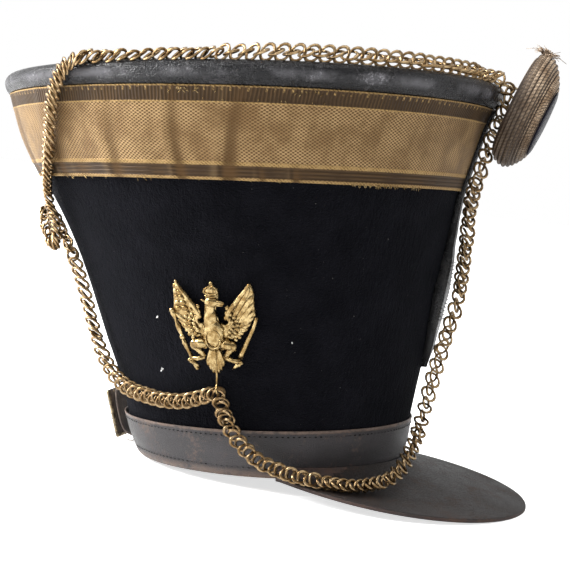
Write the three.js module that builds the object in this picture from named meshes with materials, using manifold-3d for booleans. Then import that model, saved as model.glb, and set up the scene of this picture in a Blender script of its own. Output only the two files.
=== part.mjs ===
// A bell-topped shako hat, about 1840, with gold lace, a side eagle badge, a chin chain and a field badge.
// Units are millimetres. The hat is drawn upright about the head's centre line: +X is the front, +Y the
// wearer's left, +Z up, with the lower edge at height 0. It is then tipped back to stand on its peak.

import * as THREE from 'three';
import { mergeVertices } from 'three/addons/utils/BufferGeometryUtils.js';
import Module from 'manifold-3d';

const wasm = await Module();
wasm.setup();

// ---- driving dimensions ----

const GAP = 0.3;
const REST_TILT = THREE.MathUtils.degToRad(4.6);
const TURN_STEPS = 48;
const MERGE_DISTANCE = 1e-4;

// How far the hat's outside reaches to the front, the back and each side at each height.
const OUTLINE = [
  { z: 0, front: 89, back: 91, side: 76 },
  { z: 15, front: 93, back: 97, side: 80 },
  { z: 30, front: 95.5, back: 101, side: 83.5 },
  { z: 50, front: 99, back: 106, side: 88 },
  { z: 80, front: 105, back: 117, side: 97 },
  { z: 110, front: 110, back: 127, side: 106 },
  { z: 140, front: 115, back: 138.5, side: 115 },
  { z: 165, front: 119.5, back: 151, side: 124.5 },
  { z: 184, front: 123, back: 162, side: 132.5 },
  { z: 197, front: 127, back: 169.5, side: 138 },
  { z: 210, front: 131, back: 175.5, side: 143.5 },
  { z: 225, front: 136, back: 180, side: 149 },
  { z: 237, front: 141.5, back: 183, side: 153.5 },
  { z: 252, front: 148, back: 185.5, side: 158.5 },
];

const CLOTH = { bottom: 5, top: 242, inset: 1.5, thickness: 2.2 };
const TOP_DISC = { bottom: 242.6, top: 245, edgeInset: 4, sag: 3 };
const RIM = { bottom: 237, top: 252.5, thickness: 2.2, lip: 15, rearSink: 3 };
const LACE = { bottom: 184, top: 236.6, thickness: 1.2 };
const BAND = { top: 30.7, proud: 0.3, thickness: 1.5, turnUp: 16 };

// Puckers of the gold lace where it was eased round the bell: where, how wide and how proud each one is.
const LACE_FOLDS = [
  { turn: -129, width: 2.4, proud: 0.9 },
  { turn: -104, width: 2.6, proud: 1.2 },
  { turn: -90, width: 1.8, proud: 0.7 },
  { turn: -77, width: 2.2, proud: 1.1 },
  { turn: -71, width: 1.6, proud: 0.8 },
];

const PEAK = {
  reach: 80, spread: 73, thickness: 2.6, innerHeight: 7.5, creaseShare: 0.2, creaseHeight: 0.5,
  outlinePower: 1.82, cornerPower: 1.24, endReach: 1.6, flatTurn: 14, flatShare: 0.94,
};

// The black leather loop down the middle of the front.
const FRONT_LOOP = [
  { z: 68, halfWidth: 1.2, back: -1.1, proud: 2.6 },
  { z: 85, halfWidth: 6, back: -1.1, proud: 4.2 },
  { z: 104, halfWidth: 11, back: -1.1, proud: 5.3 },
  { z: 118, halfWidth: 12, back: -1.1, proud: 6 },
  { z: 135, halfWidth: 8, back: -1.1, proud: 5.4 },
  { z: 152, halfWidth: 5.5, back: -1.1, proud: 3.6 },
  { z: 168, halfWidth: 5, back: -1.1, proud: 2.6 },
  { z: 181, halfWidth: 5, back: -1.1, proud: 2.4 },
  { z: 183.5, halfWidth: 5, back: 0.4, proud: 2.4 },
  { z: 210, halfWidth: 5, back: 0.4, proud: 2.4 },
  { z: 235.8, halfWidth: 5, back: 0.4, proud: 2.4 },
];

// The field badge is an egg of wound cord with a black velvet face. Its own axes: out is the way the
// face looks, along runs up its long axis, and across is the hat's left.
const FIELD_BADGE = {
  centre: new THREE.Vector3(164, 0, 237), lean: THREE.MathUtils.degToRad(24),
  halfLength: 37.5, halfWidth: 25, faceRadius: 22.5, back: 10.7, droop: 0.2, sides: 24,
};

const EAGLE = {
  place: { turn: -90.5, z: 95, stand: 0.5 }, lean: THREE.MathUtils.degToRad(15.5),
  thickness: 2.2, wingSweep: THREE.MathUtils.degToRad(6), wingRoot: 5,
};

const CHAIN = {
  halfWidth: 4.8, halfThickness: 2.5, waist: 0.66, pitch: 7, sides: 6, curb: 0.3, curbLift: 0.35, endGap: 0.7,
};

// The chain's centre line, one closed loop: turn round the hat from the front, height, and how far it
// stands off the outline. A stretch starts where its name is given. lay is 1 where a link's flat side
// faces up instead of out.
const CHAIN_ROUTE = [
  { stretch: 'chain_back', turn: -148, z: 130, stand: 5.2 },
  { turn: -146.5, z: 121, stand: 5.8 },
  { turn: -146, z: 110, stand: 6.4 },
  { turn: -145.5, z: 95, stand: 7.6 },
  { turn: -145.5, z: 76, stand: 8 },
  { turn: -144, z: 64, stand: 7.8 },
  { turn: -139, z: 54, stand: 6.5 },
  { turn: -132, z: 49, stand: 5 },
  { turn: -123, z: 47, stand: 4 },
  { turn: -115, z: 46, stand: 4 },
  { turn: -106, z: 47, stand: 4 },
  { turn: -98, z: 51, stand: 4.4 },
  { turn: -92.5, z: 54, stand: 5.2 },
  { stretch: 'chain_swag', turn: -90, z: 40, stand: 6.6 },
  { turn: -86.5, z: 27.5, stand: 8 },
  { turn: -83, z: 20, stand: 8.7 },
  { turn: -78.5, z: 13.5, stand: 10 },
  { turn: -72.5, z: 8.5, stand: 12, lay: 0.4 },
  { turn: -67, z: 5, stand: 14.5, lay: 0.8 },
  { turn: -61, z: 2.8, stand: 18, lay: 1 },
  { turn: -55, z: 1, stand: 22, lay: 1 },
  { turn: -49, z: 0.2, stand: 26.5, lay: 1 },
  { turn: -43, z: 0.8, stand: 28.5, lay: 1 },
  { turn: -35, z: 3.4, stand: 27.5, lay: 1 },
  { turn: -28, z: 9, stand: 22.5, lay: 0.7 },
  { turn: -20.5, z: 17, stand: 16.5, lay: 0.3 },
  { stretch: 'chain_front', turn: -13, z: 26, stand: 12.5 },
  { turn: -6.5, z: 36, stand: 9.6 },
  { turn: -2, z: 50, stand: 8.6 },
  { turn: -0.5, z: 70, stand: 9 },
  { turn: 0, z: 93, stand: 11 },
  { turn: 0, z: 113, stand: 13.2 },
  { turn: 0, z: 133, stand: 12.2 },
  { turn: 0, z: 153, stand: 10.4 },
  { turn: 0, z: 179, stand: 7.8 },
  { turn: 0, z: 195, stand: 7.5 },
  { turn: 0, z: 211, stand: 7.1 },
  { turn: 0, z: 224, stand: 7 },
  { turn: 0, z: 238, stand: 6.5 },
  { turn: -2, z: 247, stand: 4.8, lay: 0.2 },
  { stretch: 'chain_rim', turn: -6.5, z: 254.6, stand: 0.2, lay: 0.7 },
  { turn: -12, z: 256.6, stand: -5, lay: 0.7 },
  { turn: -20, z: 257.2, stand: -6, lay: 0.5 },
  { turn: -36, z: 257.4, stand: -6, lay: 0.45 },
  { turn: -52, z: 257.4, stand: -6, lay: 0.4 },
  { turn: -66, z: 257.2, stand: -6, lay: 0.45 },
  { turn: -78, z: 256, stand: -6, lay: 0.6 },
  { turn: -88, z: 254.8, stand: -6, lay: 0.9 },
  { turn: -98, z: 254.3, stand: -6, lay: 1 },
  { turn: -106, z: 253.6, stand: -4.2, lay: 1 },
  { stretch: 'chain_fall', turn: -111, z: 251.8, stand: 0.8, lay: 0.7 },
  { turn: -114.5, z: 247, stand: 4.4, lay: 0.2 },
  { turn: -117, z: 240, stand: 5 },
  { turn: -120, z: 229, stand: 4.8 },
  { turn: -122, z: 220, stand: 4.6 },
  { turn: -124, z: 211, stand: 4.6 },
  { turn: -127.5, z: 200, stand: 4.8 },
  { turn: -133, z: 188, stand: 4.8 },
  { turn: -140, z: 177, stand: 5 },
  { turn: -143.5, z: 165, stand: 7.5 },
  { turn: -143, z: 153, stand: 10.8 },
  { turn: -143.5, z: 144, stand: 13.8 },
  { stretch: 'chain_bunch', turn: -146.5, z: 139.5, stand: 16 },
  { turn: -149.8, z: 143.5, stand: 15.6 },
  { turn: -150.6, z: 150, stand: 14.6 },
  { turn: -151, z: 157, stand: 12.4 },
  { turn: -152.8, z: 162.5, stand: 8.2 },
  { turn: -155.5, z: 160, stand: 4.8 },
  { turn: -156, z: 152, stand: 4.4 },
  { turn: -154.5, z: 143, stand: 4.2 },
  { turn: -151, z: 136.5, stand: 4.4 },
];

// The buckle hangs behind the hat's back, its frame leaning the way the back does.
const BUCKLE = {
  centre: new THREE.Vector3(-113, 2, 21), lean: THREE.MathUtils.degToRad(15),
  height: 34, width: 22, wire: 2.6,
};
const STRAP = { turn: 178.7, halfWidth: 8.5, thickness: 1.8 };

// ---- materials ----

const FINISHES = {
  cloth: new THREE.MeshStandardMaterial({ color: 0x14151b, roughness: 0.95, metalness: 0 }),
  blackLeather: new THREE.MeshStandardMaterial({ color: 0x1b1c20, roughness: 0.45, metalness: 0 }),
  brownLeather: new THREE.MeshStandardMaterial({ color: 0x2b2623, roughness: 0.6, metalness: 0 }),
  goldLace: new THREE.MeshStandardMaterial({ color: 0x8d7440, roughness: 0.6, metalness: 0.4 }),
  silverCord: new THREE.MeshStandardMaterial({ color: 0x7b6856, roughness: 0.7, metalness: 0.3 }),
  velvet: new THREE.MeshStandardMaterial({ color: 0x22222c, roughness: 1, metalness: 0 }),
  gilt: new THREE.MeshStandardMaterial({ color: 0xc9a553, roughness: 0.35, metalness: 1 }),
  agedBrass: new THREE.MeshStandardMaterial({ color: 0x8a6a3c, roughness: 0.45, metalness: 1 }),
  iron: new THREE.MeshStandardMaterial({ color: 0x5a5346, roughness: 0.5, metalness: 1 }),
};

// ---- the hat's outline ----

// A smooth value of one column of a table of heights.
function columnAt(table, column, z) {
  const last = table.length - 1;
  if (z <= table[0].z) return table[0][column];
  if (z >= table[last].z) return table[last][column];
  const i = table.findIndex((row) => row.z > z) - 1;
  const slope = (a, b) => (table[b][column] - table[a][column]) / (table[b].z - table[a].z);
  const span = table[i + 1].z - table[i].z;
  const startSlope = slope(Math.max(i - 1, 0), i + 1);
  const endSlope = slope(i, Math.min(i + 2, last));
  const t = (z - table[i].z) / span;
  const rise = table[i + 1][column] - table[i][column];
  const ease = t * t * (3 - 2 * t);
  const startBend = t * (1 - t) * (1 - t) * span * startSlope;
  const endBend = t * t * (t - 1) * span * endSlope;
  return table[i][column] + rise * ease + startBend + endBend;
}

// The point at a turn from the front (degrees, the wearer's right is negative), a height, and a
// distance out from the outline.
function hatPoint(turn, z, stand) {
  const front = columnAt(OUTLINE, 'front', z);
  const back = columnAt(OUTLINE, 'back', z);
  const side = columnAt(OUTLINE, 'side', z);
  const halfLength = (front + back) / 2;
  const angle = THREE.MathUtils.degToRad(turn);
  const outX = Math.cos(angle) / halfLength;
  const outY = Math.sin(angle) / side;
  const scale = stand / Math.hypot(outX, outY);
  const x = (front - back) / 2 + halfLength * Math.cos(angle) + outX * scale;
  const y = side * Math.sin(angle) + outY * scale;
  return new THREE.Vector3(x, y, z);
}

// The direction straight out from the outline, level with the ground.
function hatOutward(turn, z) {
  return hatPoint(turn, z, 1).sub(hatPoint(turn, z, 0)).normalize();
}

// ---- closed bodies ----

// Joins shared vertices, drops triangles that closed up, and turns the faces outward.
function closedBody(geometry) {
  const bare = geometry.index ? geometry.toNonIndexed() : geometry.clone();
  bare.deleteAttribute('normal');
  bare.deleteAttribute('uv');
  const merged = mergeVertices(bare, MERGE_DISTANCE);
  const index = merged.index.array;
  const position = merged.attributes.position;
  const kept = [];
  let volume = 0;
  for (let i = 0; i < index.length; i += 3) {
    const corners = [index[i], index[i + 1], index[i + 2]];
    if (new Set(corners).size < 3) continue;
    const [a, b, c] = corners.map((corner) => new THREE.Vector3().fromBufferAttribute(position, corner));
    volume += a.dot(b.cross(c));
    kept.push(...corners);
  }
  if (volume < 0) kept.reverse();
  merged.setIndex(kept);
  merged.computeVertexNormals();
  return merged;
}

function toSolid(geometry) {
  const body = closedBody(geometry);
  const mesh = new wasm.Mesh({
    numProp: 3,
    vertProperties: new Float32Array(body.attributes.position.array),
    triVerts: new Uint32Array(body.index.array),
  });
  mesh.merge();
  return new wasm.Manifold(mesh);
}

// One body out of several that run into each other.
function soldered(geometries) {
  const solids = geometries.map(toSolid);
  const whole = solids.slice(1).reduce((sum, solid) => sum.add(solid), solids[0]);
  const mesh = whole.getMesh();
  const geometry = new THREE.BufferGeometry();
  geometry.setAttribute('position', new THREE.BufferAttribute(new Float32Array(mesh.vertProperties), 3));
  geometry.setIndex(new THREE.BufferAttribute(new Uint32Array(mesh.triVerts), 1));
  return closedBody(geometry);
}

// A wall that goes once round the hat. Each corner of its section is a height and a distance out from
// the outline. bulge adds to the distance, and sink takes from the height, by turn and height.
function hatWall(section, turns, bulge = () => 0, sink = () => 0) {
  const corners = section.map((corner) => new THREE.Vector2(OUTLINE[0].side + corner.stand, corner.z));
  const wall = new THREE.LatheGeometry([...corners, corners[0]], turns.length);
  const position = wall.attributes.position;
  const rows = corners.length + 1;
  for (let i = 0; i < position.count; i += 1) {
    const turn = turns[Math.floor(i / rows) % turns.length];
    const corner = section[(i % rows) % corners.length];
    const place = hatPoint(turn, corner.z, corner.stand + bulge(turn, corner.z));
    position.setXYZ(i, place.x, place.y, place.z - sink(turn, corner.z));
  }
  return closedBody(wall);
}

function evenTurns() {
  return Array.from({ length: TURN_STEPS }, (_, i) => (i * 360) / TURN_STEPS - 180);
}

// The heights of the outline between two limits, limits included.
function heightsBetween(low, high) {
  const inner = OUTLINE.map((row) => row.z).filter((z) => z > low + 3 && z < high - 3);
  return [low, ...inner, high];
}

// A box bent so that each of its corners follows place(u, v, w), each from 0 to 1.
function bentBox(uSteps, vSteps, place) {
  const box = new THREE.BoxGeometry(1, 1, 1, uSteps, vSteps, 1);
  const position = box.attributes.position;
  for (let i = 0; i < position.count; i += 1) {
    const [u, v, w] = [position.getX(i) + 0.5, position.getY(i) + 0.5, position.getZ(i) + 0.5];
    const corner = place(u, v, w);
    position.setXYZ(i, corner.x, corner.y, corner.z);
  }
  return closedBody(box);
}

function addPart(group, name, geometry, finish) {
  const mesh = new THREE.Mesh(geometry, finish);
  mesh.name = name;
  group.add(mesh);
  return mesh;
}

// ---- the crown ----

function crownBody() {
  const heights = heightsBetween(CLOTH.bottom, CLOTH.top);
  const outside = heights.map((z) => ({ z, stand: -CLOTH.inset }));
  const inside = heights.map((z) => ({ z, stand: -CLOTH.inset - CLOTH.thickness })).reverse();
  return hatWall([...outside, ...inside], evenTurns());
}

// The leather disc that closes the top. It sags a little in the middle.
function crownTop() {
  const rings = [0, 0.35, 0.7, 1];
  const underside = rings.map((share) => ({ share, z: TOP_DISC.bottom }));
  const upperside = rings.map((share) => ({ share, z: TOP_DISC.top })).reverse();
  const section = [...underside, ...upperside];
  const profile = section.map((corner) => new THREE.Vector2(corner.share, corner.z));
  const disc = new THREE.LatheGeometry(profile, TURN_STEPS);
  const position = disc.attributes.position;
  const turns = evenTurns();
  for (let i = 0; i < position.count; i += 1) {
    const { share, z } = section[i % section.length];
    const turn = turns[Math.floor(i / section.length) % turns.length];
    const edge = hatPoint(turn, RIM.bottom, -TOP_DISC.edgeInset);
    const middle = hatPoint(0, RIM.bottom, 0).add(hatPoint(180, RIM.bottom, 0)).multiplyScalar(0.5);
    const place = middle.lerp(edge, share);
    position.setXYZ(i, place.x, place.y, z - TOP_DISC.sag * (1 - share * share));
  }
  return closedBody(disc);
}

// Polished leather rolled over the top edge, with an inner lip just above the disc.
// The rim is a little lower at the back than at the front.
function topRim() {
  const { bottom, top, thickness, lip, rearSink } = RIM;
  const sink = (turn, z) => {
    const rearward = (1 - Math.cos(THREE.MathUtils.degToRad(turn))) / 2;
    return (rearSink * rearward * (z - bottom)) / (top - bottom);
  };
  return hatWall([
    { z: bottom, stand: 0.9 },
    { z: bottom + 4, stand: 1.5 },
    { z: bottom + 9.5, stand: 1 },
    { z: top - 3, stand: -0.6 },
    { z: top - 0.8, stand: -3 },
    { z: top, stand: -7 },
    { z: top - 1.2, stand: -11.5 },
    { z: top - 3.6, stand: -lip },
    { z: top - 4.8, stand: -lip + 0.6 },
    { z: top - 1.2 - thickness, stand: -10.6 },
    { z: top - thickness, stand: -7 },
    { z: top - 3 - thickness, stand: -3.6 },
    { z: bottom + 8, stand: -1 },
    { z: bottom, stand: -CLOTH.inset + GAP + 0.1 },
  ], evenTurns(), () => 0, sink);
}

// Gold lace round the top, with the puckers that its fold table gives.
function laceBand() {
  const heights = heightsBetween(LACE.bottom, LACE.top);
  const outside = heights.map((z) => ({ z, stand: 0 }));
  const inside = heights.map((z) => ({ z, stand: -LACE.thickness })).reverse();
  const foldTurns = LACE_FOLDS.flatMap(({ turn, width }) => [turn - width, turn, turn + width]);
  const apart = (turn) => foldTurns.every((fold) => Math.abs(fold - turn) > 0.8);
  const turns = [...evenTurns().filter(apart), ...foldTurns].sort((a, b) => a - b);
  const bulge = (turn, z) => {
    const fold = LACE_FOLDS.find((row) => row.turn === turn);
    const held = (z - LACE.bottom) * (LACE.top - z) > 0 ? 1 : 0.35;
    return fold ? fold.proud * held : 0;
  };
  return hatWall([...outside, ...inside], turns, bulge);
}

// The leather headband. It covers the cloth's lower end and turns up inside it.
function headBand() {
  const { top, proud, thickness, turnUp } = BAND;
  const innerFace = -CLOTH.inset - CLOTH.thickness - GAP;
  return hatWall([
    { z: top, stand: proud },
    { z: 15, stand: proud },
    { z: 3, stand: proud },
    { z: 0.6, stand: proud - 0.9 },
    { z: 0, stand: -2.4 },
    { z: 1, stand: innerFace - 1 },
    { z: 4, stand: innerFace - thickness },
    { z: turnUp, stand: innerFace - thickness },
    { z: turnUp, stand: innerFace },
    { z: CLOTH.bottom - GAP, stand: innerFace },
    { z: CLOTH.bottom - GAP - 1, stand: -1.9 },
    { z: CLOTH.bottom - GAP, stand: proud - thickness },
    { z: 15, stand: proud - thickness },
    { z: top, stand: proud - thickness },
  ], evenTurns());
}

// ---- the peak ----

// The height of the surface that the tipped hat stands on, at a distance forward.
function groundHeight(x) {
  return -(x + OUTLINE[0].back) * Math.tan(REST_TILT);
}

// The leather peak: u runs round its edge, v from the band outwards, w from the underside to the top.
function peakPoint(u, v, w) {
  const turn = (u * 2 - 1) * PEAK.spread;
  const share = Math.abs(turn) / PEAK.spread;
  const fall = 1 - share ** PEAK.outlinePower;
  const reach = PEAK.endReach + PEAK.reach * Math.max(fall, 0) ** PEAK.cornerPower;
  const start = BAND.proud + GAP + 0.4;
  const inner = hatPoint(turn, PEAK.innerHeight, start);
  const outer = hatPoint(turn, 0, start + reach + 2);
  const edgeFlat = Math.abs(turn) < PEAK.flatTurn && v > PEAK.flatShare - 0.02 && w < 0.5;
  const reached = inner.clone().lerp(outer, v);
  const edgeHeight = groundHeight(outer.x) * (1 - share ** 2.35) + PEAK.thickness / 2;
  const crease = PEAK.creaseHeight + (edgeHeight - PEAK.creaseHeight) * v;
  const settle = Math.min(v / PEAK.creaseShare, 1);
  const height = PEAK.innerHeight + (crease - PEAK.innerHeight) * (1 - (1 - settle) ** 2);
  reached.z = edgeFlat ? groundHeight(reached.x) : height + (w - 0.5) * PEAK.thickness;
  return reached;
}

function peak() {
  const shares = [0, 0.08, PEAK.creaseShare, 0.5, 0.8, PEAK.flatShare, 1];
  const steps = shares.length - 1;
  return bentBox(30, steps, (u, v, w) => peakPoint(u, shares[Math.round(v * steps)], w));
}

// ---- the front loop ----

function frontLoop() {
  const steps = FRONT_LOOP.length - 1;
  return bentBox(2, steps, (u, v, w) => {
    const row = FRONT_LOOP[Math.round(v * steps)];
    const side = (u * 2 - 1) * row.halfWidth;
    const radius = hatPoint(90, row.z, 0).y;
    const rounded = row.proud - (row.proud - row.back) * 0.35 * Math.abs(u * 2 - 1);
    const turn = THREE.MathUtils.radToDeg(Math.asin(side / radius));
    return hatPoint(turn, row.z, w < 0.5 ? row.back : rounded);
  });
}

// ---- the field badge ----

// Turns a lathe about its own axis into an egg that leans forward over the rim.
function leaningEgg(profile) {
  const { centre, lean, halfLength, halfWidth, back, droop, sides } = FIELD_BADGE;
  const out = new THREE.Vector3(Math.cos(lean), 0, -Math.sin(lean));
  const along = new THREE.Vector3(Math.sin(lean), 0, Math.cos(lean));
  const across = new THREE.Vector3(0, 1, 0);
  const egg = new THREE.LatheGeometry(profile, sides);
  const position = egg.attributes.position;
  for (let i = 0; i < position.count; i += 1) {
    const place = centre.clone();
    place.addScaledVector(across, (position.getX(i) * halfWidth) / halfLength);
    place.addScaledVector(out, position.getY(i));
    place.addScaledVector(along, position.getZ(i) - droop * (position.getY(i) + back));
    position.setXYZ(i, place.x, place.y, place.z);
  }
  return closedBody(egg);
}

function pompom() {
  const { halfLength, faceRadius, back, centre, lean } = FIELD_BADGE;
  const body = leaningEgg([
    new THREE.Vector2(0, -back),
    new THREE.Vector2(29, -back),
    new THREE.Vector2(35.5, -9.6),
    new THREE.Vector2(halfLength, -5),
    new THREE.Vector2(37.4, 0),
    new THREE.Vector2(33.5, 6.5),
    new THREE.Vector2(28, 12),
    new THREE.Vector2(faceRadius, 15),
    new THREE.Vector2(0, 15),
  ]);
  const tuft = new THREE.CylinderGeometry(6, 4.5, 7, 8);
  tuft.rotateX(Math.PI / 2);
  tuft.translate(-5.5, 0, halfLength - 1.5);
  tuft.rotateY(lean);
  tuft.translate(centre.x, centre.y, centre.z);
  return soldered([body, tuft]);
}

function pompomFace() {
  const { faceRadius } = FIELD_BADGE;
  return leaningEgg([
    new THREE.Vector2(0, 15 + GAP),
    new THREE.Vector2(faceRadius - 0.5, 15 + GAP),
    new THREE.Vector2(faceRadius - 3, 17.2),
    new THREE.Vector2(12, 18.8),
    new THREE.Vector2(0, 19.3),
  ]);
}

// The wire that carries the badge: it hooks over the rim beside the chain and runs into the badge's back.
function pompomStem() {
  const rimInside = hatPoint(8, 250, -9.5);
  const { x: badgeBack } = hatPoint(0, 252, 9);
  const points = [
    new THREE.Vector3(rimInside.x, rimInside.y, 253.4),
    new THREE.Vector3(hatPoint(8, 252, -3).x, rimInside.y, 254.6),
    new THREE.Vector3(hatPoint(7, 252, 3).x, rimInside.y * 0.8, 253.6),
    new THREE.Vector3(badgeBack, rimInside.y * 0.7, 250.4),
  ];
  return tube(points, 0.9, 6, 6);
}

function tube(points, radius, sides, steps) {
  const circle = new THREE.Shape().absarc(0, 0, radius, 0, Math.PI * 2);
  const section = new THREE.Shape(circle.getPoints(sides).slice(0, -1));
  const path = new THREE.CatmullRomCurve3(points, false, 'centripetal');
  return closedBody(new THREE.ExtrudeGeometry(section, { steps, bevelEnabled: false, extrudePath: path }));
}

// ---- the eagle badge ----

const EAGLE_LEFT_WING = [
  [-24.5, 30], [-18, 21.5], [-10, 12.5], [-10.6, 6.3], [-7.7, 3.2], [-4.7, 5], [-4.7, -6.3],
  [-12.8, -5.7], [-19.5, 0.6], [-26, 8.9], [-26.4, 17], [-26.8, 22],
];
const EAGLE_RIGHT_WING = [
  [20, 29.7], [23, 27.8], [24.9, 22.8], [24.3, 15.2], [26, 8.2], [23, 1.9], [17.2, -3.2],
  [13.6, -5.7], [5, -6.3], [5, 1], [8.9, 3.2], [7.7, 8.2], [11.2, 15.2], [16, 20.9],
];
const EAGLE_NECK = [
  [-5.5, 0], [-5.9, 11.4], [-5.3, 17], [-4, 20.5], [-4.6, 25.5], [-2, 29], [0, 31.6], [2.4, 29],
  [4.6, 25.5], [4, 20.2], [7.7, 17.3], [3.6, 15.4], [1.2, 14.5], [1.8, 9], [5, 2.8],
];
const EAGLE_TAIL = [
  [-3.6, -10], [-4.1, -20], [-4.7, -25], [0, -31], [2.4, -30], [4.1, -25], [3.6, -19], [2.4, -10],
];
const EAGLE_LEFT_LEG = [
  [-5, -7], [-11, -9], [-13, -12], [-9, -17], [-15.5, -18.4], [-17, -22], [-13.5, -24], [-4, -19], [-4, -12],
];
const EAGLE_RIGHT_LEG = [
  [5, -7], [9.5, -7.6], [12, -10.5], [10.4, -17.2], [15.5, -18], [17.6, -22], [10, -25.5], [4, -18.5],
  [3.6, -12],
];
const EAGLE_LEFT_ROD = [[-27.4, 9], [-25.4, 8], [-15, -19], [-11.6, -27], [-13.6, -28.5], [-17.8, -21]];
const EAGLE_RIGHT_ROD = [[26, 8], [24, 7], [12.8, -18], [15.6, -19]];

function plate(outline, thickness) {
  const shape = new THREE.Shape(outline.map(([x, y]) => new THREE.Vector2(x, y)));
  return new THREE.ExtrudeGeometry(shape, { depth: thickness, bevelEnabled: false });
}

// Bends a wing back from its root so that it follows the round of the hat.
function sweptWing(outline, side) {
  const wing = plate(outline, EAGLE.thickness);
  wing.translate(-side * EAGLE.wingRoot, 0, 0);
  wing.rotateY(side * EAGLE.wingSweep);
  wing.translate(side * EAGLE.wingRoot, 0, 0);
  return wing;
}

function eagleBadge() {
  const breast = new THREE.SphereGeometry(1, 10, 6);
  breast.scale(7, 11.5, 3);
  breast.translate(0, -3, 3);
  const head = new THREE.SphereGeometry(1, 8, 5);
  head.scale(4.3, 4, 3);
  head.translate(0.2, 17.5, 2.4);
  const hook = tube([
    new THREE.Vector3(0.3, -24, 1.2),
    new THREE.Vector3(0.6, -32, 1.4),
    new THREE.Vector3(0.6, -35.2, 2.6),
    new THREE.Vector3(0.4, -37, 4.4),
  ], 0.9, 6, 8);
  const badge = soldered([
    sweptWing(EAGLE_LEFT_WING, -1),
    sweptWing(EAGLE_RIGHT_WING, 1),
    plate(EAGLE_NECK, 3),
    plate(EAGLE_TAIL, 2.4),
    plate(EAGLE_LEFT_LEG, 2.6),
    plate(EAGLE_RIGHT_LEG, 2.6),
    plate(EAGLE_LEFT_ROD, 1.8),
    plate(EAGLE_RIGHT_ROD, 1.8),
    breast,
    head,
    hook,
  ]);
  const { turn, z, stand } = EAGLE.place;
  badge.rotateX(Math.PI / 2 + EAGLE.lean);
  const place = hatPoint(turn, z, stand);
  badge.translate(place.x, place.y, place.z);
  return badge;
}

// ---- the chain ----

// Everything that a cross-section of the chain needs at a share of the whole loop.
function chainStation(loop, share) {
  const whole = loop.rows.length;
  const place = loop.curve.getPoint(share % 1);
  const tangent = loop.curve.getTangent(share % 1);
  const row = Math.floor((share % 1) * whole);
  const next = (row + 1) % whole;
  const t = (share % 1) * whole - row;
  const mix = (a, b) => a + (b - a) * t;
  const lay = mix(loop.rows[row].lay ?? 0, loop.rows[next].lay ?? 0);
  const turn = mix(loop.rows[row].turn, loop.rows[next].turn);
  const out = hatOutward(turn, place.z).multiplyScalar(1 - lay);
  out.z += lay;
  out.addScaledVector(tangent, -out.dot(tangent)).normalize();
  const side = new THREE.Vector3().crossVectors(tangent, out);
  return { place, out, side };
}

// A run of joined links: full in the middle of each link and waisted between links, each link turned a
// little the other way.
function chainStretch(loop, from, to) {
  const length = loop.lengthBetween(from, to);
  const links = Math.max(Math.round(length / CHAIN.pitch), 1);
  const steps = links * 2;
  const run = new THREE.CylinderGeometry(1, 1, 1, CHAIN.sides, steps);
  const position = run.attributes.position;
  const trim = CHAIN.endGap / length;
  for (let i = 0; i < position.count; i += 1) {
    const step = Math.round((0.5 - position.getY(i)) * steps);
    const along = THREE.MathUtils.clamp(step / steps, trim, 1 - trim);
    const station = chainStation(loop, loop.shareAt(from, to, along));
    const middle = step % 2 === 1;
    const size = middle ? 1 : CHAIN.waist;
    const curb = middle ? CHAIN.curb * (step % 4 === 1 ? 1 : -1) : 0;
    const across = position.getX(i) * CHAIN.halfWidth * size;
    const deep = position.getZ(i) * CHAIN.halfThickness * size;
    const place = station.place;
    place.addScaledVector(station.side, across * Math.cos(curb));
    place.addScaledVector(station.out, deep + across * Math.sin(curb) * CHAIN.curbLift);
    position.setXYZ(i, place.x, place.y, place.z);
  }
  return closedBody(run);
}

function chainLoop() {
  const points = CHAIN_ROUTE.map((row) => hatPoint(row.turn, row.z, row.stand));
  const curve = new THREE.CatmullRomCurve3(points, true, 'centripetal');
  const samplesPerRow = 12;
  const samples = CHAIN_ROUTE.length * samplesPerRow;
  const reached = [0];
  for (let i = 1; i <= samples; i += 1) {
    const step = curve.getPoint((i / samples) % 1).distanceTo(curve.getPoint((i - 1) / samples));
    reached.push(reached[i - 1] + step);
  }
  const lengthAt = (share) => {
    const place = share * samples;
    const i = Math.min(Math.floor(place), samples - 1);
    return reached[i] + (reached[i + 1] - reached[i]) * (place - i);
  };
  const lengthBetween = (from, to) => lengthAt(to) - lengthAt(from);
  const shareAt = (from, to, along) => {
    const wanted = lengthAt(from) + lengthBetween(from, to) * along;
    const i = THREE.MathUtils.clamp(reached.findIndex((value) => value > wanted), 1, samples);
    const over = reached[i] > wanted ? (wanted - reached[i - 1]) / (reached[i] - reached[i - 1]) : 1;
    return (i - 1 + over) / samples;
  };
  return { rows: CHAIN_ROUTE, curve, lengthBetween, shareAt };
}

function addChain(group) {
  const loop = chainLoop();
  const starts = CHAIN_ROUTE.flatMap((row, i) => (row.stretch ? [{ name: row.stretch, row: i }] : []));
  starts.forEach(({ name, row }, i) => {
    const end = i + 1 < starts.length ? starts[i + 1].row : CHAIN_ROUTE.length;
    const body = chainStretch(loop, row / CHAIN_ROUTE.length, end / CHAIN_ROUTE.length);
    addPart(group, name, body, FINISHES.agedBrass);
  });
}

// ---- the strap and buckle at the back ----

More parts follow.
